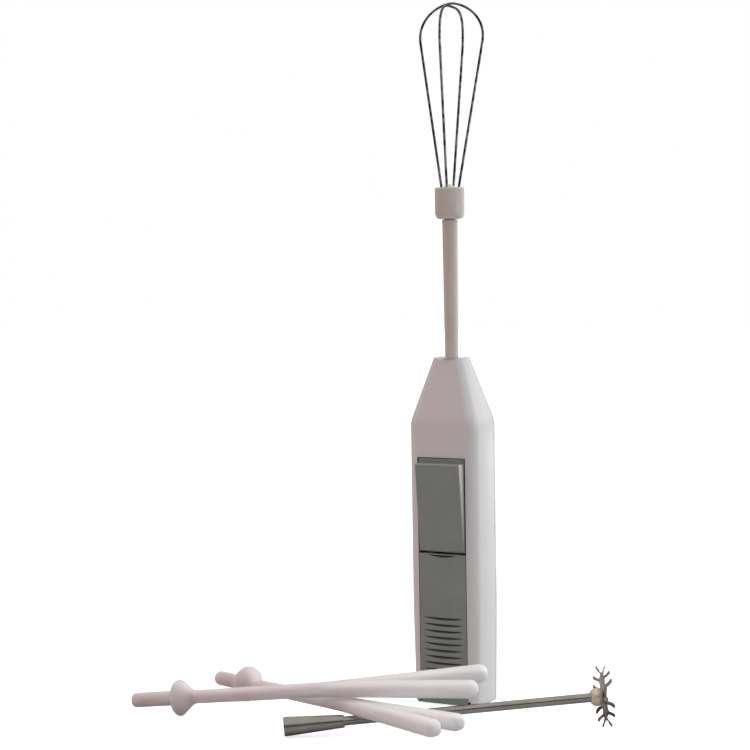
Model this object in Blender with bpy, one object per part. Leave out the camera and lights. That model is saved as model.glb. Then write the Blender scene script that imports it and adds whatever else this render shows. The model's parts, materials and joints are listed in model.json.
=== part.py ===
"""Battery milk frother: a slim handle standing on its base with the whisk fitted, and three
loose attachments lying in front of it: two mixing paddles and a frothing wand.

Frame: +Z up, the front of the handle faces -Y, origin at the middle of the handle's base.
Lengths here are millimetres; each mesh is scaled to metres when it becomes an object.
"""

import math

import bmesh
import bpy
from mathutils import Matrix, Vector

MM = 0.001
GAP = 0.3
CLEAR = 5.0

# Handle casing
WIDTH = 31.5
DEPTH = 21.5
CORNER = 4.5
WALL = 1.5
FLOOR = 1.6
BASE_NARROWING = 0.8
BASE_EDGE = 0.8
WAIST_Z = 38.0
SHOULDER_Z = 114.0
NOSE_Z = 140.0
NOSE_HALF_X = 7.0
NOSE_HALF_Y = 5.0
NOSE_CORNER = 2.8
NOSE_EDGE = 0.5
NOSE_DISH_HALF = 5.5
NOSE_DISH_DEEP = 1.3
CAVITY_TOP_Z = 127.0
BOSS_R = 5.8
BOSS_Z = 123.5
SOCKET_R = 4.2
SEAM_Y = 6.0
REAR_TOP_Z = 130.0
FRONT_Y = -DEPTH / 2
INNER_Y = FRONT_Y + WALL

# Recess in the front that holds the button and the battery door
RECESS_HALF = 10.8
RECESS_TOP_Z = 100.0
DOOR_HALF = 10.5
DOOR_TOP_Z = 61.2
DOOR_THICK = 1.5
LIP_HALF = 11.5
LIP_THICK = 0.8
LIP_BELOW_TOP = 1.3
GROOVES = 10
GROOVE_TOP_Z = 35.3
GROOVE_PITCH = 2.6
GROOVE_HALF = 9.0
GROOVE_DROP = 1.4
GROOVE_DEEP = 0.6
NOTCH_HALF = 6.2
NOTCH_DROP = 1.2
NOTCH_BELOW_TOP = 0.5
BUTTON_HALF = 10.2
BUTTON_Z = (61.8, 97.7)
BUTTON_PROUD = 3.2
LEDGE_Y = FRONT_Y + 0.6
FLANGE_HALF = 11.3
FLANGE_TOP_Z = 100.9
FLANGE_THICK = 0.7
PIVOT = Vector((0.0, -7.8, 62.6))
PIVOT_R = 1.0
PIVOT_HALF = 13.0
PIVOT_EAR_HALF = 1.9

# Ribs inside the casing; WELD is how far a rib or a boss runs into the wall that carries it
WELD = 0.4
RIB = 1.4
RIB_HALF = 9.0
REAR_RIBS_Z = (25.0, 80.0, 112.0)
CRADLE_Z = 105.0

# Screws that hold the rear cover
SCREW_X = 10.6
SCREW_Z = 95.5
SCREW_BOSS_R = 3.1
SCREW_HEAD_R = 2.0
SCREW_R = 1.0

# Two AAA cells and the frame that carries them
CELL_R = 5.25
CELL_BODY = 43.2
CELL_NUB = 1.1
CELL_NUB_R = 1.9
CELL_X = 6.0
CELL_Y = -1.5
CELL_A_Z = 7.2
CELL_B_Z = 4.8
TRAY_HALF = 11.3
TRAY_Y = (4.3, 5.5)
TRAY_FRONT_Y = -6.9
TRAY_Z = (2.6, 90.0)
TRAY_TOP_Z = 52.6
TRAY_WALL = 1.2
PLATE = 0.4
SPRING_WIRE_R = 0.3
SPRING_TURNS = 2

# Switch
LEAF_X = (-10.0, -5.0)
LEAF_Y = (-5.8, -5.4)
LEAF_Z = (64.6, 88.0)
LEAF_PIVOT = Vector((-7.5, -5.6, 66.0))
CONTACT_Y = (-3.2, -2.8)
CONTACT_Z = (80.5, 91.6)
LEAD_R = 0.6

# Motor
MOTOR_R = 7.75
MOTOR_FLAT = 6.05
MOTOR_Z = (101.8, 121.8)
CAN_Z = 104.0
CAN_WALL = 0.6
SHAFT_R = 1.0
SHAFT_Z = (102.2, 138.8)
BORE_R = SHAFT_R + GAP
POLES = 3
POLE_R = 5.3

# Whisk
STEM_END_Z = 127.0
STEM_LOW_R = 2.6
STEM_TOP_R = 2.97
STEM_TOP_Z = 194.0
COLLAR_R = 5.9
COLLAR_Z = (195.5, 208.1)
COLLAR_BORE_R = 4.9
COLLAR_BORE_Z = 199.4
WIRE_R = 0.5
WIRE_FOOT_R = 3.7
WIRE_FOOT_Z = 200.2
LOOP_R = 13.4
LOOP_TOP_Z = 282.0
LOOP_TURN = 7.0
OUTER_ROUNDNESS = (2.1, 1.7)
INNER_ROUNDNESS = (3.3, 3.3)
CAGE_LEAN = 1.3
CAGE_LEAN_TOWARDS = 30.0
CAGE_LEAN_Z = 196.0

# Frothing wand, along its own axis from the mouth of the sleeve
WAND_MOUTH = Vector((-29.2, -85.2, 3.85))
WAND_DISC = Vector((72.7, -17.5, 11.75))
SLEEVE_LONG = 23.0
SLEEVE_R = (3.65, 2.45)
SLEEVE_BORE_R = 2.7
SLEEVE_BORE = 12.5
ROD_R = 1.75
ROD_Z = (12.8, 119.0)
HUB_Z = (117.4, 121.9)
HUB_R = 3.6
DISC_Z = 122.2
DISC_THICK = 0.6
DISC_R = 11.6
DISC_WEB_R = 6.2
TEETH = 10
TOOTH_BEND = 1.9

# Mixing paddles, along their own axis from the end of the stem
PADDLE_1_CONE = Vector((-85.0, -73.9, 7.4))
PADDLE_1_TIP = Vector((44.5, -64.0, 24.1))
PADDLE_1_ROLL = 20.0
PADDLE_2_CONE = Vector((-74.9, -40.5, 7.4))
PADDLE_2_TIP = Vector((45.4, -91.9, 13.1))
PADDLE_2_ROLL = 2.5
PADDLE_STEM_R = 2.95
PADDLE_STEM = 18.6
CONE_R = 7.3
CONE_Z = 21.6
CONE_END_Z = 28.0
PADDLE_ROD_R = (2.65, 2.95)
FORK_Z = 90.0
PADDLE_LONG = 152.6
PRONG_R = (2.85, 3.2)
PRONG_SPREAD = 5.5


# ---------------------------------------------------------------- meshes

def finished(bm):
    """Merges doubled points and turns every face outwards."""
    bmesh.ops.remove_doubles(bm, verts=bm.verts, dist=0.001)
    bmesh.ops.recalc_face_normals(bm, faces=bm.faces)
    return bm


def rings_to_solid(rings, closed=False):
    """Joins rings of points by quads; the ends are capped, or joined to each other if closed."""
    bm = bmesh.new()
    made = [[bm.verts.new(point) for point in ring] for ring in rings]
    pairs = list(zip(made, made[1:]))
    if closed:
        pairs.append((made[-1], made[0]))
    for low, high in pairs:
        count = max(len(low), len(high))
        for k in range(count if count > 1 else 0):
            corners = [low[k % len(low)], low[(k + 1) % len(low)]]
            corners += [high[(k + 1) % len(high)], high[k % len(high)]]
            bm.faces.new(list(dict.fromkeys(corners)))
    if not closed:
        for ring in (made[0], made[-1]):
            if len(ring) > 2:
                bm.faces.new(ring)
    return finished(bm)


def circle(radius, height, sides):
    """A ring of points about Z, or the one point on the axis."""
    if radius == 0:
        return [Vector((0, 0, height))]
    angles = [2 * math.pi * (k + 0.5) / sides for k in range(sides)]
    return [Vector((radius * math.cos(a), radius * math.sin(a), height)) for a in angles]


def turned(profile, sides=24, closed=False):
    """A solid turned about Z from (radius, height) points; a closed profile makes a ring."""
    return rings_to_solid([circle(r, z, sides) for r, z in profile], closed)


def tube(inner, outer, low, high, sides=16):
    profile = [(inner, low), (outer, low), (outer, high), (inner, high)]
    return turned(profile, sides, closed=True)


def rod(radius, low, high, sides=16):
    return turned([(radius, low), (radius, high)], sides)


def rounded_section(half_x, half_y, radius, z, steps=5):
    """A rounded rectangle about the Z axis, anticlockwise from +X."""
    points = []
    for quarter in range(4):
        centre_x = (half_x - radius) * (1 if quarter in (0, 3) else -1)
        centre_y = (half_y - radius) * (1 if quarter in (0, 1) else -1)
        for k in range(steps + 1):
            a = math.pi / 2 * (quarter + k / steps)
            x = centre_x + radius * math.cos(a)
            y = centre_y + radius * math.sin(a)
            points.append(Vector((x, y, z)))
    return points


def prism(outline, low, high, axis="Z"):
    """An outline of (u, v) points extruded along one axis: u, v are the other two, in order."""
    at = "XYZ".index(axis)
    rings = [[Vector((*pair[:at], w, *pair[at:])) for pair in outline] for w in (low, high)]
    return rings_to_solid(rings)


def block(x, y, z):
    outline = [(x[0], y[0]), (x[1], y[0]), (x[1], y[1]), (x[0], y[1])]
    return prism(outline, z[0], z[1])


def mirrored(span):
    return (-span[1], -span[0])


def wire(points, radius, sides=6):
    """A round bar along a path of points, with flat ends."""
    rings = []
    side = None
    for i, point in enumerate(points):
        ahead = points[min(i + 1, len(points) - 1)] - points[max(i - 1, 0)]
        ahead.normalize()
        if side is None:
            side = ahead.orthogonal()
        side = (side - ahead * side.dot(ahead)).normalized()
        across = ahead.cross(side)
        angles = [2 * math.pi * k / sides for k in range(sides)]
        rings.append([point + radius * (math.cos(a) * side + math.sin(a) * across) for a in angles])
    return rings_to_solid(rings)


def moved(bm, matrix):
    bm.transform(matrix)
    return finished(bm)


# ---------------------------------------------------------------- objects

def material(name, colour, roughness, metallic=0.0, transmission=0.0):
    made = bpy.data.materials.new(name)
    made.use_nodes = True
    shader = made.node_tree.nodes["Principled BSDF"]
    shader.inputs["Base Color"].default_value = (*colour, 1.0)
    shader.inputs["Roughness"].default_value = roughness
    shader.inputs["Metallic"].default_value = metallic
    shader.inputs["Transmission Weight"].default_value = transmission
    made.diffuse_color = (*colour, 1.0)
    return made


def body(name, origin=(0, 0, 0), turn=None):
    """An empty that carries the pieces of one moving body."""
    empty = bpy.data.objects.new(name, None)
    empty.empty_display_size = 0.005
    empty.matrix_world = Matrix.Translation(Vector(origin) * MM) @ (turn or Matrix()).to_4x4()
    bpy.context.scene.collection.objects.link(empty)
    return empty


def new_object(name, bm):
    mesh = bpy.data.meshes.new(name)
    bm.to_mesh(mesh)
    bm.free()
    made = bpy.data.objects.new(name, mesh)
    bpy.context.scene.collection.objects.link(made)
    return made


def piece(name, bm, look, carrier, local=False):
    """One sub-part. Its mesh is in the handle's frame, or in the carrier's own if local."""
    if not local:
        bm.transform(Matrix.Translation(-carrier.location / MM))
    bm.transform(Matrix.Scale(MM, 4))
    made = new_object(name, bm)
    made.parent = carrier
    made.data.materials.append(look)
    made.data.shade_smooth()
    made.data.set_sharp_from_angle(angle=math.radians(32))
    return made


def combine(target, bm, operation, local=False):
    """Adds a Boolean with a hidden helper that has the same parent as the target."""
    if not local:
        bm.transform(Matrix.Translation(-target.parent.location / MM))
    bm.transform(Matrix.Scale(MM, 4))
    helper = new_object(f"{target.name}_{operation.lower()}_{len(target.modifiers)}", bm)
    helper.parent = target.parent
    helper.hide_render = True
    helper.display_type = "WIRE"
    modifier = target.modifiers.new(operation.title(), "BOOLEAN")
    modifier.operation = operation
    modifier.object = helper
    return target


def cut(target, bm, local=False):
    return combine(target, bm, "DIFFERENCE", local)


def fuse(target, bm, local=False):
    return combine(target, bm, "UNION", local)


# ---------------------------------------------------------------- handle casing

def taper(z):
    """How far up the nose a height is, from 0 at the shoulder to 1 at the tip."""
    return (z - SHOULDER_Z) / (NOSE_Z - SHOULDER_Z)


def casing_section(z, inset, narrowing=0.0):
    part = max(0.0, taper(z))
    half_x = WIDTH / 2 - narrowing + part * (NOSE_HALF_X - WIDTH / 2) - inset
    half_y = DEPTH / 2 + part * (NOSE_HALF_Y - DEPTH / 2) - inset
    radius = CORNER + part * (NOSE_CORNER - CORNER) - inset * 1.3
    return rounded_section(half_x, half_y, radius, z)


def casing_outside():
    sections = [
        casing_section(0.0, BASE_EDGE, BASE_NARROWING),
        casing_section(BASE_EDGE, 0.0, BASE_NARROWING),
        casing_section(WAIST_Z, 0.0),
        casing_section(SHOULDER_Z, 0.0),
        casing_section(NOSE_Z - NOSE_EDGE, 0.0),
        casing_section(NOSE_Z, NOSE_EDGE),
    ]
    return rings_to_solid(sections)


def casing_inside():
    sections = [
        casing_section(FLOOR, WALL, BASE_NARROWING),
        casing_section(WAIST_Z, WALL),
        casing_section(SHOULDER_Z, WALL),
        casing_section(CAVITY_TOP_Z, WALL),
    ]
    return rings_to_solid(sections)


def casing(name, look, carrier):
    """The whole shell, hollow, with the round socket for an attachment in its nose."""
    shell = piece(name, casing_outside(), look, carrier)
    cut(shell, casing_inside())
    fuse(shell, rod(BOSS_R, BOSS_Z, NOSE_Z - NOSE_EDGE, 32))
    cut(shell, rod(SOCKET_R, BOSS_Z - CLEAR, NOSE_Z + CLEAR, 32))
    dish_r = (NOSE_DISH_HALF**2 + NOSE_DISH_DEEP**2) / (2 * NOSE_DISH_DEEP)
    dish = rod(dish_r, -DEPTH, DEPTH, 64)
    dish_z = NOSE_Z - NOSE_DISH_DEEP + dish_r
    cut(shell, moved(dish, Matrix.Translation((0, 0, dish_z)) @ Matrix.Rotation(math.pi / 2, 4, "X")))
    return shell


def along_y(bm, x, z):
    """A solid turned about Z, laid along Y through (x, z): its +Z end faces -Y."""
    return moved(bm, Matrix.Translation((x, 0, z)) @ Matrix.Rotation(math.pi / 2, 4, "X"))


def along_x(bm, y, z):
    return moved(bm, Matrix.Translation((0, y, z)) @ Matrix.Rotation(math.pi / 2, 4, "Y"))


def make_front_housing(look, carrier):
    shell = casing("front_housing", look, carrier)
    behind = (SEAM_Y - GAP / 2, DEPTH)
    cut(shell, block((-WIDTH, WIDTH), behind, (-CLEAR, REAR_TOP_Z + GAP / 2)))
    deep = (FRONT_Y - CLEAR, INNER_Y + GAP)
    cut(shell, block((-RECESS_HALF, RECESS_HALF), deep, (-CLEAR, RECESS_TOP_Z)))
    slot_half = LIP_HALF + GAP
    slot_deep = (FRONT_Y - CLEAR, INNER_Y + LIP_THICK + 2 * GAP)
    cut(shell, block((-slot_half, slot_half), slot_deep, (-CLEAR, FLOOR + 0.4)))
    inside_x = WIDTH / 2 - WALL + WELD
    boss_back = SEAM_Y - GAP / 2
    for side in (1, -1):
        ear = (slot_half, inside_x)
        span = ear if side > 0 else mirrored(ear)
        ear_z = (PIVOT.z - PIVOT_EAR_HALF, PIVOT.z + PIVOT_EAR_HALF)
        fuse(shell, block(span, (INNER_Y - WELD, PIVOT.y + 1.6), ear_z))
        hole = (LIP_HALF - 0.5, PIVOT_HALF + 0.5)
        reach = hole if side > 0 else mirrored(hole)
        cut(shell, along_x(rod(PIVOT_R + GAP, reach[0], reach[1], 16), PIVOT.y, PIVOT.z))
        boss = rod(SCREW_BOSS_R, -boss_back, 4.0, 16)
        fuse(shell, along_y(boss, side * SCREW_X, SCREW_Z))
        rib = (SCREW_X, inside_x)
        rib_x = rib if side > 0 else mirrored(rib)
        rib_z = (SCREW_Z - RIB / 2, SCREW_Z + RIB / 2)
        fuse(shell, block(rib_x, (-3.0, boss_back - 1.0), rib_z))
        cut(shell, along_y(rod(SCREW_R + GAP, -DEPTH, 2.5, 12), side * SCREW_X, SCREW_Z))
        cradle = (MOTOR_R + GAP, inside_x)
        cradle_x = cradle if side > 0 else mirrored(cradle)
        fuse(shell, block(cradle_x, (-5.0, 5.0), (CRADLE_Z, CRADLE_Z + RIB)))
    front_rib = (INNER_Y - WELD, -MOTOR_FLAT - GAP)
    rib_z = CRADLE_Z + 2.0
    fuse(shell, block((-RIB_HALF, RIB_HALF), front_rib, (rib_z, rib_z + RIB)))
    return shell


def make_rear_housing(look, carrier):
    shell = casing("rear_housing", look, carrier)
    keep = (SEAM_Y + GAP / 2, DEPTH)
    combine(shell, block((-WIDTH, WIDTH), keep, (-CLEAR, REAR_TOP_Z - GAP / 2)), "INTERSECT")
    inner_back = -INNER_Y + WELD
    for side in (1, -1):
        boss = rod(SCREW_BOSS_R, -inner_back, -keep[0], 16)
        fuse(shell, along_y(boss, side * SCREW_X, SCREW_Z))
        cut(shell, along_y(rod(SCREW_R + GAP, -DEPTH, 0, 12), side * SCREW_X, SCREW_Z))
        cut(shell, along_y(rod(SCREW_HEAD_R + GAP, -DEPTH, -8.9, 20), side * SCREW_X, SCREW_Z))
    for rib_z in REAR_RIBS_Z:
        rib = ((-RIB_HALF, RIB_HALF), (MOTOR_FLAT + GAP, inner_back), (rib_z, rib_z + RIB))
        fuse(shell, block(*rib))
    return shell


def make_screws(look, carrier):
    for name, side in (("housing_screw_left", -1), ("housing_screw_right", 1)):
        profile = [(0, -10.3), (SCREW_HEAD_R - 0.5, -10.3), (SCREW_HEAD_R, -9.9)]
        profile += [(SCREW_HEAD_R, -9.2), (SCREW_R, -9.2), (SCREW_R, 1.2), (0, 2.0)]
        screw = piece(name, along_y(turned(profile, 16), side * SCREW_X, SCREW_Z), look, carrier)
        centre = Vector((side * SCREW_X, 0, SCREW_Z))
        for wide, tall in ((1.1, 0.25), (0.25, 1.1)):
            x = (centre.x - wide, centre.x + wide)
            cut(screw, block(x, (9.6, 11.0), (SCREW_Z - tall, SCREW_Z + tall)))


# ---------------------------------------------------------------- door and button

def lens(top_z, half, drop, steps=8):
    """A groove's outline in X and Z: a straight top edge over a curved lower one."""
    points = [(half, top_z), (-half, top_z)]
    for k in range(1, steps):
        u = -1 + 2 * k / steps
        points.append((u * half, top_z - drop * (1 - u * u)))
    return points


def make_battery_door(look, carrier):
    plate = block((-DOOR_HALF, DOOR_HALF), (FRONT_Y, FRONT_Y + DOOR_THICK + 0.6), (GAP, DOOR_TOP_Z))
    door = piece("battery_door", plate, look, carrier)
    lip_y = (INNER_Y + GAP, INNER_Y + GAP + LIP_THICK)
    fuse(door, block((-LIP_HALF, LIP_HALF), lip_y, (GAP, DOOR_TOP_Z - LIP_BELOW_TOP)))
    for k in range(GROOVES):
        outline = lens(GROOVE_TOP_Z - k * GROOVE_PITCH, GROOVE_HALF, GROOVE_DROP)
        cut(door, prism(outline, FRONT_Y - CLEAR, FRONT_Y + GROOVE_DEEP, "Y"))
    notch = lens(DOOR_TOP_Z - NOTCH_BELOW_TOP, NOTCH_HALF, NOTCH_DROP)
    cut(door, prism(notch, FRONT_Y - CLEAR, FRONT_Y + 1.0, "Y"))
    return door


def make_button(look, carrier):
    low, high = BUTTON_Z
    back = INNER_Y + GAP + FLANGE_THICK
    proud = FRONT_Y - BUTTON_PROUD
    outline = [(back, low), (FRONT_Y + 0.6, low), (FRONT_Y, low + 0.8), (proud, high - 1.4)]
    outline += [(proud + 0.3, high - 0.5), (proud + 1.2, high), (LEDGE_Y, high)]
    outline += [(LEDGE_Y, RECESS_TOP_Z - GAP), (back, RECESS_TOP_Z - GAP)]
    button = piece("power_button", prism(outline, -BUTTON_HALF, BUTTON_HALF, "X"), look, carrier)
    flange_y = (INNER_Y + GAP, back)
    fuse(button, block((-FLANGE_HALF, FLANGE_HALF), flange_y, (low, FLANGE_TOP_Z)))
    fuse(button, along_x(rod(PIVOT_R, -PIVOT_HALF, PIVOT_HALF, 12), PIVOT.y, PIVOT.z))
    fuse(button, block((-9.0, -6.0), (back - 0.3, LEAF_Y[0] - 0.4), (83.0, 85.0)))
    return button


# ---------------------------------------------------------------- batteries and switch

def cell(name, x, low, nub_up, look, carrier):
    body_end = low + CELL_BODY
    profile = [(0, low), (CELL_R - 1.2, low), (CELL_R - 0.4, low + 0.2), (CELL_R, low + 0.8)]
    profile += [(CELL_R, body_end - 0.8), (CELL_R - 0.5, body_end), (CELL_NUB_R, body_end)]
    profile += [(CELL_NUB_R, body_end + CELL_NUB), (0, body_end + CELL_NUB)]
    bm = turned(profile, 20)
    if not nub_up:
        middle = 2 * low + CELL_BODY + CELL_NUB
        bm.transform(Matrix.Translation((0, 0, middle)) @ Matrix.Rotation(math.pi, 4, "X"))
    return piece(name, moved(bm, Matrix.Translation((x, CELL_Y, 0))), look, carrier)


def coil_spring(name, x, low, high, look, carrier):
    """A conical contact spring, wide at its foot."""
    steps = 12 * SPRING_TURNS
    rise = high - low - 2 * SPRING_WIRE_R
    points = []
    for k in range(steps + 1):
        part = k / steps
        a = 2 * math.pi * SPRING_TURNS * part
        r = 3.4 - 1.7 * part
        z = low + SPRING_WIRE_R + rise * part
        points.append(Vector((x + r * math.cos(a), CELL_Y + r * math.sin(a), z)))
    return piece(name, wire(points, SPRING_WIRE_R, 6), look, carrier)


def make_battery_tray(look, carrier):
    back = TRAY_Y
    front = (TRAY_FRONT_Y, TRAY_Y[0] + 0.4)
    tray = piece("battery_tray", block((-TRAY_HALF, TRAY_HALF), back, TRAY_Z), look, carrier)
    low_wall = (TRAY_Z[0], TRAY_Z[0] + TRAY_WALL)
    fuse(tray, block((-TRAY_HALF, TRAY_HALF), front, low_wall))
    top_wall = (TRAY_TOP_Z, TRAY_TOP_Z + TRAY_WALL)
    fuse(tray, block((-TRAY_HALF, TRAY_HALF), front, top_wall))
    fuse(tray, block((-0.4, 0.4), (-3.0, front[1]), (TRAY_Z[0] + 2.4, TRAY_TOP_Z - 1.2)))
    posts = (LEAF_X[0] - 0.5, LEAF_X[1] + 0.5)
    fuse(tray, block(posts, (LEAF_Y[1] + GAP, front[1]), (LEAF_Z[0] - 0.3, LEAF_Z[0] + 3.4)))
    fuse(tray, block(posts, (CONTACT_Y[1] + GAP, front[1]), (CONTACT_Z[0] + 1.5, TRAY_Z[1])))
    return tray


def make_contacts(look, carrier):
    bridge_z = (4.1, 4.1 + PLATE)
    piece("contact_bridge", block((-10.3, 10.3), (-5.5, 2.5), bridge_z), look, carrier)
    coil_spring("contact_spring_lower", -CELL_X, bridge_z[1] + GAP, CELL_A_Z - GAP, look, carrier)
    plate_z = (51.9, 51.9 + PLATE)
    upper_low = CELL_B_Z + CELL_BODY + CELL_NUB + GAP
    coil_spring("contact_spring_upper", CELL_X, upper_low, plate_z[0] - GAP, look, carrier)
    tab_y = (TRAY_FRONT_Y - 0.7, TRAY_FRONT_Y - GAP)
    for name, side in (("battery_contact_positive", -1), ("battery_contact_negative", 1)):
        across = (2.0, 10.0) if side > 0 else (-10.0, -2.0)
        tab = (6.0, 9.0) if side > 0 else (-9.0, -6.0)
        contact = piece(name, block(across, (tab_y[0], 1.0), plate_z), look, carrier)
        fuse(contact, block(tab, tab_y, (plate_z[0] + 0.1, 60.4)))


def make_switch_contact(look, carrier):
    contact_x = (LEAF_X[0] + 0.5, LEAF_X[1] - 0.5)
    piece("switch_contact", block(contact_x, CONTACT_Y, CONTACT_Z), look, carrier)


def smooth_path(points, per_span=4):
    """Points on a Catmull-Rom curve through the given ones."""
    ends = [points[0]] + points + [points[-1]]
    path = []
    for p0, p1, p2, p3 in zip(ends, ends[1:], ends[2:], ends[3:]):
        for k in range(per_span):
            t = k / per_span
            a = 2 * p1 + (p2 - p0) * t
            b = (2 * p0 - 5 * p1 + 4 * p2 - p3) * t**2
            c = (3 * p1 - p0 - 3 * p2 + p3) * t**3
            path.append((a + b + c) / 2)
    path.append(points[-1])
    return path


def make_leads(red, black, carrier):
    red_route = [(-7.0, -1.9, 91.1), (-6.0, -1.6, 94.0), (-4.6, -0.8, 98.0), (-4.0, 0.0, 101.2)]
    black_route = [(7.5, -6.0, 57.5), (8.2, -3.0, 61.0), (8.0, 0.5, 68.0), (7.8, 1.5, 80.0)]
    black_route += [(6.2, 1.5, 91.0), (4.4, 0.5, 97.5), (4.0, 0.0, 101.2)]
    for name, route, look in (("lead_red", red_route, red), ("lead_black", black_route, black)):
        path = smooth_path([Vector(point) for point in route])
        piece(name, wire(path, LEAD_R, 8), look, carrier)


def make_switch_leaf(look, carrier):
    return piece("switch_leaf", block(LEAF_X, LEAF_Y, LEAF_Z), look, carrier)


# ---------------------------------------------------------------- motor

def flatted_circle(radius, flat, steps=9):
    """A circle with two flats facing -Y and +Y."""
    limit = math.asin(flat / radius)
    right = [(-1 + 2 * k / steps) * limit for k in range(steps + 1)]
    outline = [(radius * math.cos(a), radius * math.sin(a)) for a in right]
    return outline + [(-x, -y) for x, y in outline]


def arc_block(inner, outer, middle, half_angle, low, high, steps=5):
    """A curved block between two radii, used for the magnets and the pole heads."""
    angles = [middle + half_angle * (-1 + 2 * k / steps) for k in range(steps + 1)]
    outline = [(outer * math.cos(a), outer * math.sin(a)) for a in angles]
    outline += [(inner * math.cos(a), inner * math.sin(a)) for a in reversed(angles)]
    return prism(outline, low, high)


def make_motor(looks, carrier):
    can = piece(
        "motor_can",
        prism(flatted_circle(MOTOR_R, MOTOR_FLAT), CAN_Z, MOTOR_Z[1]),
        looks["steel"],
        carrier,
    )
    inside = flatted_circle(MOTOR_R - CAN_WALL, MOTOR_FLAT - CAN_WALL)
    cut(can, prism(inside, CAN_Z - CLEAR, MOTOR_Z[1] - 0.8))
    bush_r = 2.6
    cut(can, rod(bush_r + GAP, MOTOR_Z[1] - CLEAR, MOTOR_Z[1] + CLEAR, 16))
    cap = prism(flatted_circle(MOTOR_R, MOTOR_FLAT), MOTOR_Z[0], CAN_Z - GAP)
    cut(piece("motor_end_cap", cap, looks["cap"], carrier), rod(BORE_R, 90, 110, 12))
    piece("motor_bush", tube(BORE_R, bush_r, 120.6, 122.6), looks["brass"], carrier)
    piece("shaft_guide_bush", tube(BORE_R, SOCKET_R - GAP, 124.0, 126.2), looks["brass"], carrier)
    for name, middle in (("motor_magnet_right", 0.0), ("motor_magnet_left", math.pi)):
        magnet = arc_block(POLE_R + GAP, 6.85, middle, math.radians(38), 106.0, 118.0)
        piece(name, magnet, looks["ferrite"], carrier)
    for name, x in (("motor_brush_right", (2.6, 5.2)), ("motor_brush_left", (-5.2, -2.6))):
        piece(name, block(x, (-0.8, 0.8), (104.5, 105.6)), looks["carbon"], carrier)


def make_rotor(looks, carrier):
    piece("drive_shaft", rod(SHAFT_R, SHAFT_Z[0], SHAFT_Z[1], 12), looks["steel"], carrier)
    piece("commutator", tube(BORE_R, 2.3, 104.2, 105.9, 18), looks["copper"], carrier)
    low, high = 107.5, 116.5
    core = piece("armature_core", tube(BORE_R, 2.2, low, high, 18), looks["core"], carrier)
    for k in range(POLES):
        middle = 2 * math.pi * k / POLES + math.pi / 2
        turn = Matrix.Rotation(middle, 4, "Z")
        fuse(core, moved(block((1.9, POLE_R - 0.6), (-0.8, 0.8), (low, high)), turn))
        fuse(core, arc_block(POLE_R - 1.0, POLE_R, middle, math.radians(42), low, high))
        outer = moved(block((2.55, 3.45), (-1.9, 1.9), (low - 1.2, high + 1.2)), turn)
        coil = piece(f"armature_coil_{k + 1}", outer, looks["copper"], carrier)
        cut(coil, moved(block((0, CLEAR), (-1.1, 1.1), (low - GAP, high + GAP)), turn))


# ---------------------------------------------------------------- whisk

def make_whisk_stem(look, carrier):
    bore_top = SHAFT_Z[1] + 0.7
    profile = [(BORE_R, STEM_END_Z), (STEM_LOW_R - 0.4, STEM_END_Z), (STEM_LOW_R, STEM_END_Z + 0.6)]
    profile += [(STEM_LOW_R, NOSE_Z), (STEM_TOP_R, STEM_TOP_Z), (3.1, STEM_TOP_Z + 0.1)]
    profile += [(3.1, COLLAR_Z[0] - GAP), (2.3, COLLAR_Z[0] - GAP), (2.3, COLLAR_BORE_Z - GAP)]
    profile += [(0, COLLAR_BORE_Z - GAP)]
    inside = [(0, bore_top), (BORE_R, bore_top)]
    return piece("whisk_stem", turned(inside + profile, 20), look, carrier)


def make_whisk_collar(look, carrier):
    low, high = COLLAR_Z
    profile = [(2.6, low), (COLLAR_R - 1.3, low), (COLLAR_R - 0.2, low + 1.0), (COLLAR_R, low + 1.6)]
    profile += [(COLLAR_R, high - 0.4), (COLLAR_R - 0.4, high), (COLLAR_BORE_R, high)]
    profile += [(COLLAR_BORE_R, COLLAR_BORE_Z), (2.6, COLLAR_BORE_Z)]
    return piece("whisk_collar", turned(profile, 24, closed=True), look, carrier)


def make_whisk_plug(look, carrier):
    low = COLLAR_BORE_Z + GAP
    dome = [(2.6 * math.cos(a), 207.6 + 2.0 * math.sin(a)) for a in (0, 0.5, 1.0)]
    profile = [(0, low), (2.6, low), *dome, (0, 209.6)]
    return piece("whisk_plug", turned(profile, 16), look, carrier)


def loop_path(radius, top_z, roundness, steps=20):
    """Half of a whisk loop in (distance from the axis, height): foot, straight side, arch to the top.

    The arch is a superellipse. Its roundness is given at the sides and at the top: 2 and 2 make a
    circle, less makes that end more pointed, and more makes it flatter.
    """
    side, top = roundness
    centre_z = top_z - WIRE_R - radius
    collar_z = COLLAR_Z[1]
    reach = math.hypot(WIRE_FOOT_R, centre_z - collar_z)
    lean = math.asin(radius / reach) - math.atan2(WIRE_FOOT_R, centre_z - collar_z)
    half = [(WIRE_FOOT_R, WIRE_FOOT_Z), (WIRE_FOOT_R, collar_z - 1.5)]
    half.append((WIRE_FOOT_R + 0.9 * math.tan(lean), collar_z + 0.9))
    for k in range(3):
        a = lean * (k / 3 - 1)
        half.append((radius * math.cos(a), centre_z + radius * math.sin(a)))
    for k in range(steps + 1):
        a = math.pi / 2 * k / steps
        out = radius * max(math.cos(a), 0.0) ** (2 / top)
        half.append((out, centre_z + radius * math.sin(a) ** (2 / side)))
    return half


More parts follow.
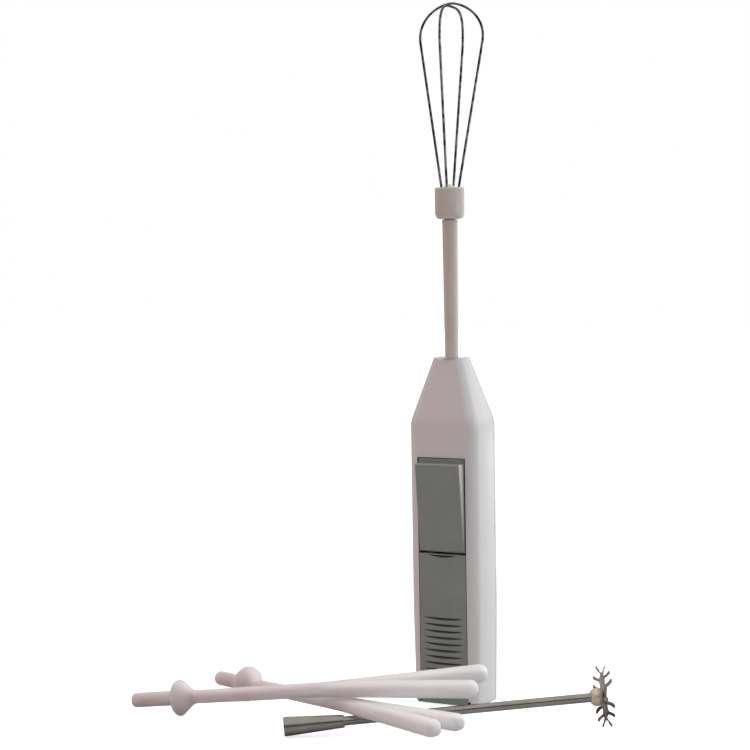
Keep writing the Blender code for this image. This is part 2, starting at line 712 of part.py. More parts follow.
def make_whisk_loop(name, radius, top_z, roundness, azimuth, look, carrier):
    half = loop_path(radius, top_z, roundness)
    outline = half + [(-x, z) for x, z in reversed(half[:-1])]
    across = Vector((math.cos(azimuth), math.sin(azimuth), 0))
    points = [across * x + Vector((0, 0, z)) for x, z in outline]
    towards = math.radians(CAGE_LEAN_TOWARDS)
    lean_axis = Vector((-math.sin(towards), math.cos(towards), 0))
    lean = Matrix.Rotation(math.radians(CAGE_LEAN), 4, lean_axis)
    foot = Matrix.Translation((0, 0, CAGE_LEAN_Z))
    leaning = moved(wire(points, WIRE_R, 8), foot @ lean @ foot.inverted())
    return piece(name, leaning, look, carrier)


# ---------------------------------------------------------------- loose attachments

def axis_frame(along, roll_degrees=0.0):
    """A turn whose Z is the given direction, X level and Y up, then rolled about Z."""
    ahead = along.normalized()
    level = Vector((0, 0, 1)).cross(ahead).normalized()
    above = ahead.cross(level)
    turn = Matrix((level, above, ahead)).transposed()
    return turn @ Matrix.Rotation(math.radians(roll_degrees), 3, "Z")


def make_wand(looks, carrier):
    mouth_r, end_r = SLEEVE_R
    rod_hole = ROD_R + GAP
    profile = [(SLEEVE_BORE_R, 0), (mouth_r - 0.2, 0), (mouth_r, 0.3), (end_r, SLEEVE_LONG - 0.2)]
    profile += [(end_r - 0.2, SLEEVE_LONG), (rod_hole, SLEEVE_LONG), (rod_hole, SLEEVE_BORE)]
    profile += [(SLEEVE_BORE_R, SLEEVE_BORE)]
    piece("wand_sleeve", turned(profile, 20, closed=True), looks["bright"], carrier, local=True)
    insert = tube(BORE_R, SLEEVE_BORE_R - GAP, 1.0, SLEEVE_BORE - GAP)
    piece("wand_insert", insert, looks["insert"], carrier, local=True)
    piece("wand_rod", rod(ROD_R, ROD_Z[0], ROD_Z[1], 14), looks["bright"], carrier, local=True)
    low, high = HUB_Z
    hub = [(rod_hole, low), (HUB_R - 1.3, low), (HUB_R - 0.4, low + 0.9), (HUB_R, low + 2.2)]
    hub += [(HUB_R - 0.3, high - 0.9), (HUB_R - 1.0, high), (0, high), (0, ROD_Z[1] + GAP)]
    hub += [(rod_hole, ROD_Z[1] + GAP)]
    piece("wand_hub", turned(hub, 18, closed=True), looks["bright"], carrier, local=True)
    piece("wand_disc", toothed_disc(), looks["bright"], carrier, local=True)


def toothed_disc():
    """A thin disc with forked teeth: one prong of each leans forwards, and the other backwards."""
    bm = bmesh.new()
    step = 2 * math.pi / TEETH
    layers = (DISC_Z, DISC_Z + DISC_THICK)

    def ring_point(angle, radius, z):
        return bm.verts.new((radius * math.cos(angle), radius * math.sin(angle), z))

    corners = []
    for k in range(TEETH):
        for part in (-0.32, 0.32):
            angle = (k + part) * step
            corners.append([ring_point(angle, DISC_WEB_R, z) for z in layers])
    for layer in (0, 1):
        bm.faces.new([pair[layer] for pair in corners])
    for k in range(TEETH):
        left, right = corners[2 * k], corners[2 * k + 1]
        after = corners[(2 * k + 2) % len(corners)]
        bm.faces.new((right[0], after[0], after[1], right[1]))
        bend = TOOTH_BEND if k % 2 else -TOOTH_BEND
        tips = []
        for part, radius, lean in ((-0.3, DISC_R, 1.0), (0.0, DISC_R - 2.4, 0.0), (0.3, DISC_R, -1.0)):
            angle = (k + part) * step
            tips.append([ring_point(angle, radius, z + bend * lean) for z in layers])
        edge = [left, *tips, right]
        for layer in (0, 1):
            bm.faces.new((left[layer], tips[0][layer], tips[1][layer]))
            bm.faces.new((left[layer], tips[1][layer], right[layer]))
            bm.faces.new((right[layer], tips[1][layer], tips[2][layer]))
        for first, second in zip(edge, edge[1:]):
            bm.faces.new((first[0], second[0], second[1], first[1]))
    return finished(bm)


def make_paddle(name, look, carrier):
    low_r = PADDLE_STEM_R
    bore = 12.0
    profile = [(0, bore), (BORE_R, bore), (BORE_R, 0), (low_r - 0.6, 0), (low_r - 0.15, 0.3)]
    profile += [(low_r, 0.9), (low_r, PADDLE_STEM), (CONE_R - 0.5, CONE_Z - 0.5), (CONE_R, CONE_Z)]
    near_r, fork_r = PADDLE_ROD_R
    profile += [(CONE_R - 0.4, CONE_Z + 0.5), (near_r, CONE_END_Z)]
    profile += [(fork_r, FORK_Z + 2), (fork_r * 0.7, FORK_Z + 4), (0, FORK_Z + 5)]
    paddle = piece(name, turned(profile, 20), look, carrier, local=True)
    root_z = FORK_Z - 2
    root_r, tip_r = PRONG_R
    run = PADDLE_LONG - tip_r - root_z
    long = math.hypot(PRONG_SPREAD, run)
    for side in (1, -1):
        round_end = [(tip_r * math.cos(a), tip_r * math.sin(a)) for a in (0, 0.45, 0.9, 1.25)]
        prong = [(0, -1.0), (root_r * 0.8, -0.5), (root_r, 1.0), *[(r, long + z) for r, z in round_end]]
        prong.append((0, long + tip_r))
        lean = Matrix.Rotation(side * math.atan2(PRONG_SPREAD, run), 4, "Y")
        place = Matrix.Translation((0, 0, root_z)) @ lean
        fuse(paddle, moved(turned(prong, 14), place), local=True)
    return paddle


# ---------------------------------------------------------------- assembly

def make_looks():
    return {
        "white": material("gloss_white", (0.86, 0.86, 0.87), 0.22),
        "grey": material("satin_grey", (0.17, 0.18, 0.17), 0.42),
        "inner": material("moulded_black", (0.03, 0.03, 0.03), 0.6),
        "wrap": material("cell_wrap", (0.1, 0.16, 0.3), 0.35),
        "plated": material("plated_contact", (0.75, 0.74, 0.7), 0.3, 1.0),
        "steel": material("motor_steel", (0.6, 0.6, 0.6), 0.35, 1.0),
        "cap": material("motor_cap", (0.75, 0.74, 0.7), 0.5),
        "brass": material("bush_bronze", (0.6, 0.42, 0.2), 0.35, 1.0),
        "ferrite": material("ferrite", (0.08, 0.08, 0.09), 0.7),
        "carbon": material("carbon", (0.03, 0.03, 0.03), 0.6),
        "copper": material("copper", (0.72, 0.36, 0.18), 0.35, 1.0),
        "core": material("laminated_iron", (0.4, 0.4, 0.42), 0.45, 1.0),
        "red": material("red_lead", (0.6, 0.03, 0.02), 0.45),
        "black": material("black_lead", (0.02, 0.02, 0.02), 0.45),
        "stem": material("stem_white", (0.8, 0.74, 0.71), 0.4),
        "glue": material("potting", (0.7, 0.6, 0.35), 0.3),
        "wire": material("whisk_wire", (0.35, 0.33, 0.31), 0.25, 1.0),
        "bright": material("bright_steel", (0.62, 0.6, 0.57), 0.15, 1.0),
        "insert": material("wand_insert", (0.75, 0.72, 0.68), 0.5),
        "milky": material("milky_plastic", (0.85, 0.8, 0.79), 0.35, transmission=0.2),
    }


def main():
    for old in list(bpy.data.objects):
        bpy.data.objects.remove(old)
    looks = make_looks()

    handle = body("handle")
    make_front_housing(looks["white"], handle)
    make_rear_housing(looks["white"], handle)
    make_screws(looks["steel"], handle)
    make_battery_tray(looks["inner"], handle)
    cell("battery_cell_left", -CELL_X, CELL_A_Z, True, looks["wrap"], handle)
    cell("battery_cell_right", CELL_X, CELL_B_Z, False, looks["wrap"], handle)
    make_contacts(looks["plated"], handle)
    make_switch_contact(looks["plated"], handle)
    make_leads(looks["red"], looks["black"], handle)
    make_motor(looks, handle)

    make_battery_door(looks["grey"], body("battery_door_body", (0, FRONT_Y, DOOR_TOP_Z / 2)))
    make_button(looks["grey"], body("button_body", PIVOT))
    make_switch_leaf(looks["plated"], body("switch_leaf_body", LEAF_PIVOT))
    make_rotor(looks, body("rotor_body", (0, 0, SHAFT_Z[0])))

    whisk = body("whisk_body", (0, 0, STEM_END_Z))
    make_whisk_stem(looks["stem"], whisk)
    make_whisk_collar(looks["stem"], whisk)
    make_whisk_plug(looks["glue"], whisk)
    wide = math.radians(LOOP_TURN)
    inner_drop = 2 * WIRE_R + GAP
    make_whisk_loop("whisk_loop_outer", LOOP_R, LOOP_TOP_Z, OUTER_ROUNDNESS, wide, looks["wire"], whisk)
    crossing = wide + math.pi / 2
    inner_top = LOOP_TOP_Z - inner_drop
    inner = (LOOP_R - 0.3, inner_top, INNER_ROUNDNESS, crossing)
    make_whisk_loop("whisk_loop_inner", *inner, looks["wire"], whisk)

    wand = body("wand_body", WAND_MOUTH, axis_frame(WAND_DISC - WAND_MOUTH))
    make_wand(looks, wand)
    for number, cone, tip, roll in (
        (1, PADDLE_1_CONE, PADDLE_1_TIP, PADDLE_1_ROLL),
        (2, PADDLE_2_CONE, PADDLE_2_TIP, PADDLE_2_ROLL),
    ):
        along = (tip - cone).normalized()
        carrier = body(f"paddle_{number}_body", cone - along * CONE_Z, axis_frame(along, roll))
        make_paddle(f"mixing_paddle_{number}", looks["milky"], carrier)


main()
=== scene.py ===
"""Looks of the milk frother: fine surfaces, materials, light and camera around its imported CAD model.

Shapes are made in millimetres, and new_object() scales them to metres. A piece that stands for a
CAD node lies where that node lies: upright pieces take their places from the node's own box, and
the loose attachments are made along their own axis and laid where the CAD lays them.
"""

import json
import math

import bmesh
import bpy
from mathutils import Matrix, Vector, noise


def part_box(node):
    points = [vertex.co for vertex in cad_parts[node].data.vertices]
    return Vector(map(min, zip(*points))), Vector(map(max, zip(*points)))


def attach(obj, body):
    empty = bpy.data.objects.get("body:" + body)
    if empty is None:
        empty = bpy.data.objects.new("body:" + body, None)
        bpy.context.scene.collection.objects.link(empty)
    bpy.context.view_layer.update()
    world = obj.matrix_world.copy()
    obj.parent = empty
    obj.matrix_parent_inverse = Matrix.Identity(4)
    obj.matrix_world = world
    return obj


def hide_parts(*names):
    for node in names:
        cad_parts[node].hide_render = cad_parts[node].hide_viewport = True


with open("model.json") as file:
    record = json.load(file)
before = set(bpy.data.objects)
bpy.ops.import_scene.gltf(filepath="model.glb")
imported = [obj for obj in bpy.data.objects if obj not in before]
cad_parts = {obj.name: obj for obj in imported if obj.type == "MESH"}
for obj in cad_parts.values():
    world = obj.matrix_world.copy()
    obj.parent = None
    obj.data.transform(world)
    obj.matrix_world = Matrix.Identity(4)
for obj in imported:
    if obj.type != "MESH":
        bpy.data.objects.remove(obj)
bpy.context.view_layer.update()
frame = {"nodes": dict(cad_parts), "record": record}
MM = 0.001
SLOT_OF = {part["node"]: part["material_slot"] for part in frame["record"]["subparts"]}


def box_mm(node):
    low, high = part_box(node)
    return low / MM, high / MM


# ---------------------------------------------------------------- sizes, in millimetres

GAP = 0.3  # between neighbouring pieces
CLEAR = 5.0  # how far a cutter reaches past what it cuts
FRONT_LOW, FRONT_HIGH = box_mm("front_housing")
REAR_LOW, REAR_HIGH = box_mm("rear_housing")
DOOR_TOP_Z = box_mm("battery_door")[1].z
BUTTON_LOW, BUTTON_HIGH = box_mm("power_button")
STEM_LOW, STEM_HIGH = box_mm("whisk_stem")
COLLAR_LOW, COLLAR_HIGH = box_mm("whisk_collar")
SHAFT_TOP_Z = box_mm("drive_shaft")[1].z
CAGE_TOP_Z = box_mm("whisk_loop_outer")[1].z

# Handle casing
HALF_X = FRONT_HIGH.x
FRONT_Y = FRONT_LOW.y
HALF_Y = -FRONT_Y
NOSE_Z = FRONT_HIGH.z
SEAM_Y = REAR_LOW.y - GAP / 2
REAR_TOP_Z = REAR_HIGH.z + GAP / 2
CORNER = 4.5
WALL = 1.5
FLOOR = 1.6
INNER_Y = FRONT_Y + WALL
BASE_NARROWING = 0.8
BASE_EDGE = 0.8
WAIST_Z = 38.0
WAIST_SOFT = 4.0
SHOULDER_Z = 114.0
SHOULDER_SOFT = 2.2
SIDE_CROWN = 0.45
CASE_EDGE = 0.22
NOSE_HALF_X = 7.0
NOSE_HALF_Y = 5.0
NOSE_CORNER = 2.8
NOSE_EDGE = 0.5
NOSE_DISH_HALF = 5.5
NOSE_DISH_DEEP = 1.3
CAVITY_TOP_Z = 127.0
BOSS_R = 5.8
BOSS_Z = 123.5
SOCKET_R = 4.2
RECESS_HALF = 10.8
RECESS_TOP_Z = 100.0
LIP_HALF = 11.5
LIP_THICK = 0.8
LIP_BELOW_TOP = 1.3
SCREW_X = 10.6
SCREW_Z = 95.5
SCREW_HEAD_R = 2.0
SCREW_BOSS_R = 3.1
SCREW_SEAT_Y = 8.9
WELD = 0.4  # how far a boss runs into the wall that carries it

# Door and button
DOOR_HALF = 10.5
DOOR_THICK = 2.1
GROOVES = 10
GROOVE_TOP_Z = 35.3
GROOVE_PITCH = 2.6
GROOVE_HALF = 9.0
GROOVE_DROP = 1.4
GROOVE_DEEP = 1.0
NOTCH_HALF = 6.2
NOTCH_DROP = 1.2
NOTCH_DEEP = 1.0
NOTCH_BELOW_TOP = 0.5
BUTTON_HALF = 10.2
BUTTON_BASE_Z = 61.8
BUTTON_TOP_Z = 97.7
LEDGE_Y = FRONT_Y + 0.15
BUTTON_SIDE_EDGE = 1.1
FLANGE_HALF = 11.3
FLANGE_THICK = 0.7
PIVOT_Y = -7.8
PIVOT_Z = 62.6
PIVOT_R = 1.0
PLUNGER_X = (-9.0, -6.0)
PLUNGER_Z = (83.0, 85.0)
PLUNGER_SUNK = 0.3

# Whisk
BORE_R = 1.3
STEM_R = (2.7, 3.07)
STEM_TOP_Z = 194.0
SPIGOT_R = 2.3
COLLAR_R = 5.9
COLLAR_HOLE_R = 2.6
COLLAR_BORE_R = 4.9
COLLAR_BORE_Z = 199.4
PLUG_R = 2.6
WIRE_R = 0.5
WIRE_SIDES = 14
WIRE_FOOT_R = 3.7
WIRE_FOOT_Z = 200.2
LOOP_R = 13.4
LOOP_TURN = 7.0
OUTER_ROUNDNESS = (2.1, 1.7)
INNER_ROUNDNESS = (3.3, 3.3)
CAGE_LEAN = 1.3
CAGE_LEAN_TOWARDS = 30.0
CAGE_LEAN_Z = 196.0

# Frothing wand, along its own axis from the mouth of the sleeve
WAND_MOUTH = Vector((-29.2, -85.2, 3.85))
WAND_DISC = Vector((72.7, -17.5, 11.75))
SLEEVE_LONG = 23.0
SLEEVE_R = (3.65, 2.45)
SLEEVE_BORE_R = 2.7
SLEEVE_BORE = 12.5
ROD_R = 1.75
ROD_Z = (12.8, 119.0)
HUB_Z = (117.4, 121.9)
HUB_R = 3.6
DISC_Z = 122.2
DISC_THICK = 0.6
DISC_R = 11.6
DISC_WEB_R = 6.2
TEETH = 10
TOOTH_ROOT = 0.3  # half a tooth's width at the web, in tooth pitches
TOOTH_BEND = 1.9

# Mixing paddles, along their own axis from the end of the stem
PADDLES = (
    (1, Vector((-85.0, -73.9, 7.4)), Vector((44.5, -64.0, 24.1)), 20.0),
    (2, Vector((-74.9, -40.5, 7.4)), Vector((45.4, -91.9, 13.1)), 2.5),
)
PADDLE_STEM_R = 2.95
PADDLE_STEM = 18.6
PADDLE_BORE = 12.0
CONE_R = 7.3
CONE_Z = 21.6
CONE_END_Z = 28.0
FORK_Z = 90.0
PADDLE_ROD_R = (2.65, 2.95)
PADDLE_LONG = 152.6
PRONG_R = (2.85, 3.2)
PRONG_SPREAD = 5.5
PADDLE_VOXEL = 0.32


# ---------------------------------------------------------------- meshes

def finished(bm):
    """Merges doubled points and turns every face outwards."""
    bmesh.ops.remove_doubles(bm, verts=bm.verts, dist=0.0005)
    bmesh.ops.recalc_face_normals(bm, faces=bm.faces)
    return bm


def rings_to_solid(rings, closed=False):
    """Joins rings of points by quads; the ends are capped, or joined to each other if closed."""
    bm = bmesh.new()
    made = [[bm.verts.new(point) for point in ring] for ring in rings]
    pairs = list(zip(made, made[1:]))
    if closed:
        pairs.append((made[-1], made[0]))
    for low, high in pairs:
        count = max(len(low), len(high))
        for k in range(count if count > 1 else 0):
            corners = [low[k % len(low)], low[(k + 1) % len(low)]]
            corners += [high[(k + 1) % len(high)], high[k % len(high)]]
            bm.faces.new(list(dict.fromkeys(corners)))
    if not closed:
        for ring in (made[0], made[-1]):
            if len(ring) > 2:
                bm.faces.new(ring)
    return finished(bm)


def circle(radius, height, sides):
    if radius == 0:
        return [Vector((0, 0, height))]
    angles = [2 * math.pi * (k + 0.5) / sides for k in range(sides)]
    return [Vector((radius * math.cos(a), radius * math.sin(a), height)) for a in angles]


def softened(corners, steps=4):
    """A path with its corners rounded: each corner is (u, v) or (u, v, how far the rounding reaches)."""
    path = []
    for k, corner in enumerate(corners):
        here = Vector(corner[:2])
        reach = corner[2] if len(corner) > 2 else 0
        if not reach or k in (0, len(corners) - 1):
            path.append(tuple(here))
            continue
        before = Vector(corners[k - 1][:2]) - here
        after = Vector(corners[k + 1][:2]) - here
        first = here + before.normalized() * min(reach, before.length * 0.49)
        last = here + after.normalized() * min(reach, after.length * 0.49)
        for step in range(steps + 1):
            t = step / steps
            path.append(tuple(first * (1 - t) ** 2 + here * 2 * t * (1 - t) + last * t**2))
    return path


def turned(profile, sides=48, closed=False):
    """A solid turned about Z from (radius, height) points; a closed profile makes a ring."""
    return rings_to_solid([circle(r, z, sides) for r, z in profile], closed)


def rod(radius, low, high, sides=48):
    return turned([(radius, low), (radius, high)], sides)


def rounded_section(half_x, half_y, radius, z, steps=10):
    """A rounded rectangle about the Z axis, anticlockwise from +X."""
    points = []
    for quarter in range(4):
        centre_x = (half_x - radius) * (1 if quarter in (0, 3) else -1)
        centre_y = (half_y - radius) * (1 if quarter in (0, 1) else -1)
        for k in range(steps + 1):
            a = math.pi / 2 * (quarter + k / steps)
            x = centre_x + radius * math.cos(a)
            y = centre_y + radius * math.sin(a)
            points.append(Vector((x, y, z)))
    return points


def prism(outline, low, high, axis="Z"):
    """An outline of (u, v) points extruded along one axis: u, v are the other two, in order."""
    at = "XYZ".index(axis)
    rings = [[Vector((*pair[:at], w, *pair[at:])) for pair in outline] for w in (low, high)]
    return rings_to_solid(rings)


def block(x, y, z):
    outline = [(x[0], y[0]), (x[1], y[0]), (x[1], y[1]), (x[0], y[1])]
    return prism(outline, z[0], z[1])


def sweep(points, section, first_side=None):
    """A bar with flat ends along a path: section(k) gives the (u, v) points of ring k."""
    rings = []
    side = first_side
    for i, point in enumerate(points):
        ahead = points[min(i + 1, len(points) - 1)] - points[max(i - 1, 0)]
        ahead.normalize()
        if side is None:
            side = ahead.orthogonal()
        side = (side - ahead * side.dot(ahead)).normalized()
        across = ahead.cross(side)
        rings.append([point + u * side + v * across for u, v in section(i)])
    return rings_to_solid(rings)


def round_section(radius, sides):
    angles = [2 * math.pi * k / sides for k in range(sides)]
    return [(radius * math.cos(a), radius * math.sin(a)) for a in angles]


def moved(bm, matrix):
    bm.transform(matrix)
    return finished(bm)


def along_y(bm, x, z):
    """A solid turned about Z, laid along Y through (x, z): its +Z end faces -Y."""
    return moved(bm, Matrix.Translation((x, 0, z)) @ Matrix.Rotation(math.pi / 2, 4, "X"))


def along_x(bm, y, z):
    return moved(bm, Matrix.Translation((0, y, z)) @ Matrix.Rotation(math.pi / 2, 4, "Y"))


# ---------------------------------------------------------------- pieces

def new_object(name, bm, place=Matrix()):
    bm.transform(Matrix.Scale(MM, 4))
    mesh = bpy.data.meshes.new(name)
    bm.to_mesh(mesh)
    bm.free()
    made = bpy.data.objects.new(name, mesh)
    made.matrix_world = place
    bpy.context.scene.collection.objects.link(made)
    return made


def apply_modifiers(made):
    """Puts what the modifiers make into the mesh itself."""
    bpy.context.view_layer.update()
    graph = bpy.context.evaluated_depsgraph_get()
    mesh = bpy.data.meshes.new_from_object(made.evaluated_get(graph))
    made.modifiers.clear()
    made.data = mesh


def carve(made, steps):
    """Applies a list of (operation, bmesh) Booleans, in the piece's own frame."""
    helpers = []
    for operation, bm in steps:
        helper = new_object(f"{made.name}_helper_{len(helpers)}", bm, made.matrix_world)
        modifier = made.modifiers.new(operation, "BOOLEAN")
        modifier.operation = operation
        modifier.object = helper
        helpers.append(helper)
    apply_modifiers(made)
    for helper in helpers:
        bpy.data.objects.remove(helper)


def round_edges(made, width, segments=3, angle=35):
    """Rounds the sharp edges, so that they catch the light as moulded or cut edges do."""
    bevel = made.modifiers.new("Rounded edges", "BEVEL")
    bevel.width = width * MM
    bevel.segments = segments
    bevel.limit_method = "ANGLE"
    bevel.angle_limit = math.radians(angle)
    apply_modifiers(made)


def smooth(made, angle):
    """Shades the surface as round, but for edges sharper than the angle."""
    made.data.shade_smooth()
    made.data.set_sharp_from_angle(angle=math.radians(angle))
    weighted = made.modifiers.new("Weighted normals", "WEIGHTED_NORMAL")
    weighted.keep_sharp = True
    apply_modifiers(made)


def dress(made, look, body, node, angle=40):
    """Gives a piece its material, hangs it on the empty of the body it rides on, and hides the CAD node it
    stands for.
    """
    smooth(made, angle)
    made.data.materials.clear()
    made.data.materials.append(look)
    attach(made, body)
    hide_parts(node)


# ---------------------------------------------------------------- materials

class Look:
    """A material in the making: its shader, and short ways to add what varies over the surface."""

    def __init__(self, name, colour, roughness, **values):
        self.material = bpy.data.materials.new(name)
        self.material.use_nodes = True
        self.nodes = self.material.node_tree.nodes
        self.links = self.material.node_tree.links
        self.shader = self.nodes["Principled BSDF"]
        self.shader.inputs["Base Color"].default_value = (*colour, 1.0)
        self.shader.inputs["Roughness"].default_value = roughness
        for socket, value in values.items():
            self.shader.inputs[socket.replace("_", " ")].default_value = value

    def place(self, stretch=(1, 1, 1)):
        """The place on the piece in its own frame, in millimetres; a stretch over 1 draws marks out."""
        coordinates = self.nodes.new("ShaderNodeTexCoord")
        mapping = self.nodes.new("ShaderNodeMapping")
        mapping.inputs["Scale"].default_value = [1 / (MM * s) for s in stretch]
        self.links.new(coordinates.outputs["Object"], mapping.inputs["Vector"])
        return mapping.outputs["Vector"]

    def mottle(self, size, detail, stretch=(1, 1, 1), rough=0.5):
        """A soft random value about 0.5, whose patches are about size millimetres across."""
        made = self.nodes.new("ShaderNodeTexNoise")
        made.inputs["Scale"].default_value = 1 / size
        made.inputs["Detail"].default_value = detail
        made.inputs["Roughness"].default_value = rough
        self.links.new(self.place(stretch), made.inputs["Vector"])
        return made.outputs["Fac"]

    def ranged(self, value, low, high, start=0.3, end=0.7):
        made = self.nodes.new("ShaderNodeMapRange")
        made.inputs["From Min"].default_value = start
        made.inputs["From Max"].default_value = end
        made.inputs["To Min"].default_value = low
        made.inputs["To Max"].default_value = high
        self.links.new(value, made.inputs["Value"])
        return made.outputs["Result"]

    def mixed(self, value, first, second):
        """A colour between two: each is a colour or another node's output."""
        made = self.nodes.new("ShaderNodeMix")
        made.data_type = "RGBA"
        self.links.new(value, made.inputs["Factor"])
        for socket, colour in ((made.inputs[6], first), (made.inputs[7], second)):
            if isinstance(colour, tuple):
                socket.default_value = (*colour, 1.0)
            else:
                self.links.new(colour, socket)
        return made.outputs[2]

    def drive(self, socket, value):
        self.links.new(value, self.shader.inputs[socket])

    def tone(self, size, detail, first, second, stretch=(1, 1, 1), span=(0.3, 0.7)):
        """Lets the colour drift between two, in patches about size millimetres across."""
        patches = self.ranged(self.mottle(size, detail, stretch), 0, 1, *span)
        self.drive("Base Color", self.mixed(patches, first, second))

    def sheen(self, size, detail, low, high, stretch=(1, 1, 1), span=(0.3, 0.7)):
        """Lets the roughness drift between two values."""
        self.drive("Roughness", self.ranged(self.mottle(size, detail, stretch), low, high, *span))

    def bands(self, scale, distortion=0.0):
        """A value that rises and falls along the piece's own axis, as rings or turns do."""
        made = self.nodes.new("ShaderNodeTexWave")
        made.bands_direction = "Z"
        made.inputs["Scale"].default_value = scale
        made.inputs["Distortion"].default_value = distortion
        self.links.new(self.place(), made.inputs["Vector"])
        return made.outputs["Fac"]

    def relief(self, value, depth):
        """Fine relief of a depth in millimetres, on top of any relief already there."""
        made = self.nodes.new("ShaderNodeBump")
        made.inputs["Strength"].default_value = 1.0
        made.inputs["Distance"].default_value = depth * MM
        self.links.new(value, made.inputs["Height"])
        normal = self.shader.inputs["Normal"]
        if normal.links:
            self.links.new(normal.links[0].from_socket, made.inputs["Normal"])
        self.links.new(made.outputs["Normal"], normal)

    def glow_through(self, weight, radius, depth):
        """Light that enters and comes out again up to a depth in millimetres away."""
        self.shader.inputs["Subsurface Weight"].default_value = weight
        self.shader.inputs["Subsurface Radius"].default_value = radius
        self.shader.inputs["Subsurface Scale"].default_value = depth * MM

    def height(self, axis=2):
        """The coordinate along one of the piece's own axes, in millimetres."""
        split = self.nodes.new("ShaderNodeSeparateXYZ")
        self.links.new(self.place(), split.inputs["Vector"])
        return split.outputs[axis]


def shade(colour, factor):
    return tuple(c * factor for c in colour)


def gloss_white_look():
    """White casing plastic: glossy, with a faint orange peel and the dulling of handling."""
    look = Look("gloss_white", (0.8, 0.8, 0.8), 0.3, Coat_Weight=0.35, Coat_Roughness=0.12)
    look.tone(22, 2, (0.765, 0.762, 0.77), (0.785, 0.785, 0.795), span=(0.2, 0.8))
    look.sheen(9, 2, 0.29, 0.31, span=(0.2, 0.8))
    look.relief(look.mottle(1.1, 2), 0.006)
    look.relief(look.mottle(0.35, 3, (1, 1, 8)), 0.003)
    return look.material


def satin_grey_look():
    """Grey moulding with a fine grain.

    It is polished where it is handled, with a painted highlight along the proud right edge of the button and
    painted shade in the grooves and on faces set back behind the front.
    """
    look = Look("satin_grey", (0.3, 0.31, 0.3), 0.45)
    patches = look.ranged(look.mottle(14, 5), 0, 1)
    flat = look.mixed(patches, (0.255, 0.305, 0.29), (0.305, 0.345, 0.335))
    # Painted shade: faces set back behind the front face, as in the grooves and the notch, darken to nearly
    # black.
    deep = look.ranged(look.height(1), 0, 1, FRONT_Y + 0.15, FRONT_Y + 0.8)
    handled = look.ranged(look.height(1), 1, 0, FRONT_Y - 1.2, FRONT_Y - 0.1)
    # Painted highlight: a pale strip along the proud right edge of the button, strongest where it stands
    # furthest out.
    most_proud = look.ranged(look.height(1), 1, 0, FRONT_Y - 3.0, FRONT_Y)
    painted_edge_highlight = look.mixed(most_proud, flat, (1.0, 0.97, 0.93))
    right_edge = look.ranged(look.height(0), 0, 1, BUTTON_HALF - 0.75, BUTTON_HALF - 0.4)
    face_with_highlight = look.mixed(right_edge, flat, painted_edge_highlight)
    look.drive("Base Color", look.mixed(deep, face_with_highlight, (0.075, 0.08, 0.073)))
    grain = look.ranged(look.mottle(3, 6), 0.38, 0.5)
    polished = look.ranged(look.mottle(3, 6), 0.28, 0.36)
    look.drive("Roughness", look.mixed(handled, grain, polished))
    look.relief(look.mottle(0.28, 4, rough=0.7), 0.012)
    return look.material


def stem_white_look():
    """Off-white moulding, a little warm, with flow marks along its length."""
    look = Look("stem_white", (0.74, 0.67, 0.64), 0.42)
    look.glow_through(0.45, (1.0, 0.8, 0.7), 3.0)
    look.tone(3.2, 5, (0.64, 0.585, 0.55), (0.69, 0.64, 0.605), (1, 1, 9))
    look.sheen(2.5, 5, 0.36, 0.5, (1, 1, 4))
    look.relief(look.mottle(0.6, 3, (1, 1, 3)), 0.012)
    return look.material


def milky_look():
    """Milky translucent moulding with flow lines, darker and pinker at the stem end and paler towards the
    prongs, and a slightly waxy surface.
    """
    look = Look("milky_plastic", (0.86, 0.81, 0.83), 0.34, Transmission_Weight=0.28, IOR=1.35)
    look.glow_through(0.85, (1.0, 0.82, 0.84), 4.0)
    flow = look.ranged(look.mottle(4, 5, (1, 1, 10)), 0, 1)
    stem_end = look.mixed(flow, (0.70, 0.62, 0.63), (0.78, 0.71, 0.715))
    prong_end = look.mixed(flow, (0.88, 0.88, 0.90), (0.96, 0.96, 0.97))
    look.drive("Base Color", look.mixed(look.ranged(look.height(), 0, 1, 10, 125), stem_end, prong_end))
    look.sheen(3, 5, 0.3, 0.44, (1, 1, 3))
    look.relief(look.mottle(1.3, 3, (1, 1, 4)), 0.01)
    return look.material


def adhesive_look():
    """Set amber adhesive, translucent and lumpy."""
    look = Look("potting", (0.86, 0.78, 0.55), 0.25)
    look.glow_through(0.5, (1.0, 0.8, 0.4), 0.8)
    look.tone(1.2, 4, (0.78, 0.66, 0.38), (0.88, 0.82, 0.64))
    look.sheen(0.8, 4, 0.15, 0.4)
    look.relief(look.mottle(0.5, 3), 0.06)
    return look.material


def wire_look():
    """Drawn wire, smooth and nearly black, greyer in short stretches."""
    look = Look("whisk_wire", (0.08, 0.08, 0.08), 0.3, Metallic=1.0)
    look.tone(9, 3, (0.05, 0.052, 0.05), (0.5, 0.5, 0.48), (1, 1, 0.3), (0.4, 0.7))
    look.sheen(3, 4, 0.28, 0.42)
    return look.material


def steel_look(name, colour, stretch):
    """Polished steel with fine tool marks, drawn along or round the piece."""
    look = Look(name, colour, 0.2, Metallic=1.0)
    look.tone(9, 5, shade(colour, 0.86), shade(colour, 1.08))
    look.sheen(1.5, 6, 0.12, 0.3, stretch)
    look.relief(look.mottle(0.12, 3, stretch), 0.004)
    return look.material


def hub_look():
    """Pale brassy metal, darker in patches."""
    look = Look("hub_steel", (0.6, 0.52, 0.4), 0.25, Metallic=0.3)
    look.tone(2.6, 4, (0.80, 0.62, 0.44), (1.0, 0.92, 0.76), span=(0.38, 0.62))
    look.sheen(0.9, 5, 0.14, 0.34)
    look.relief(look.mottle(0.5, 4), 0.01)
    return look.material


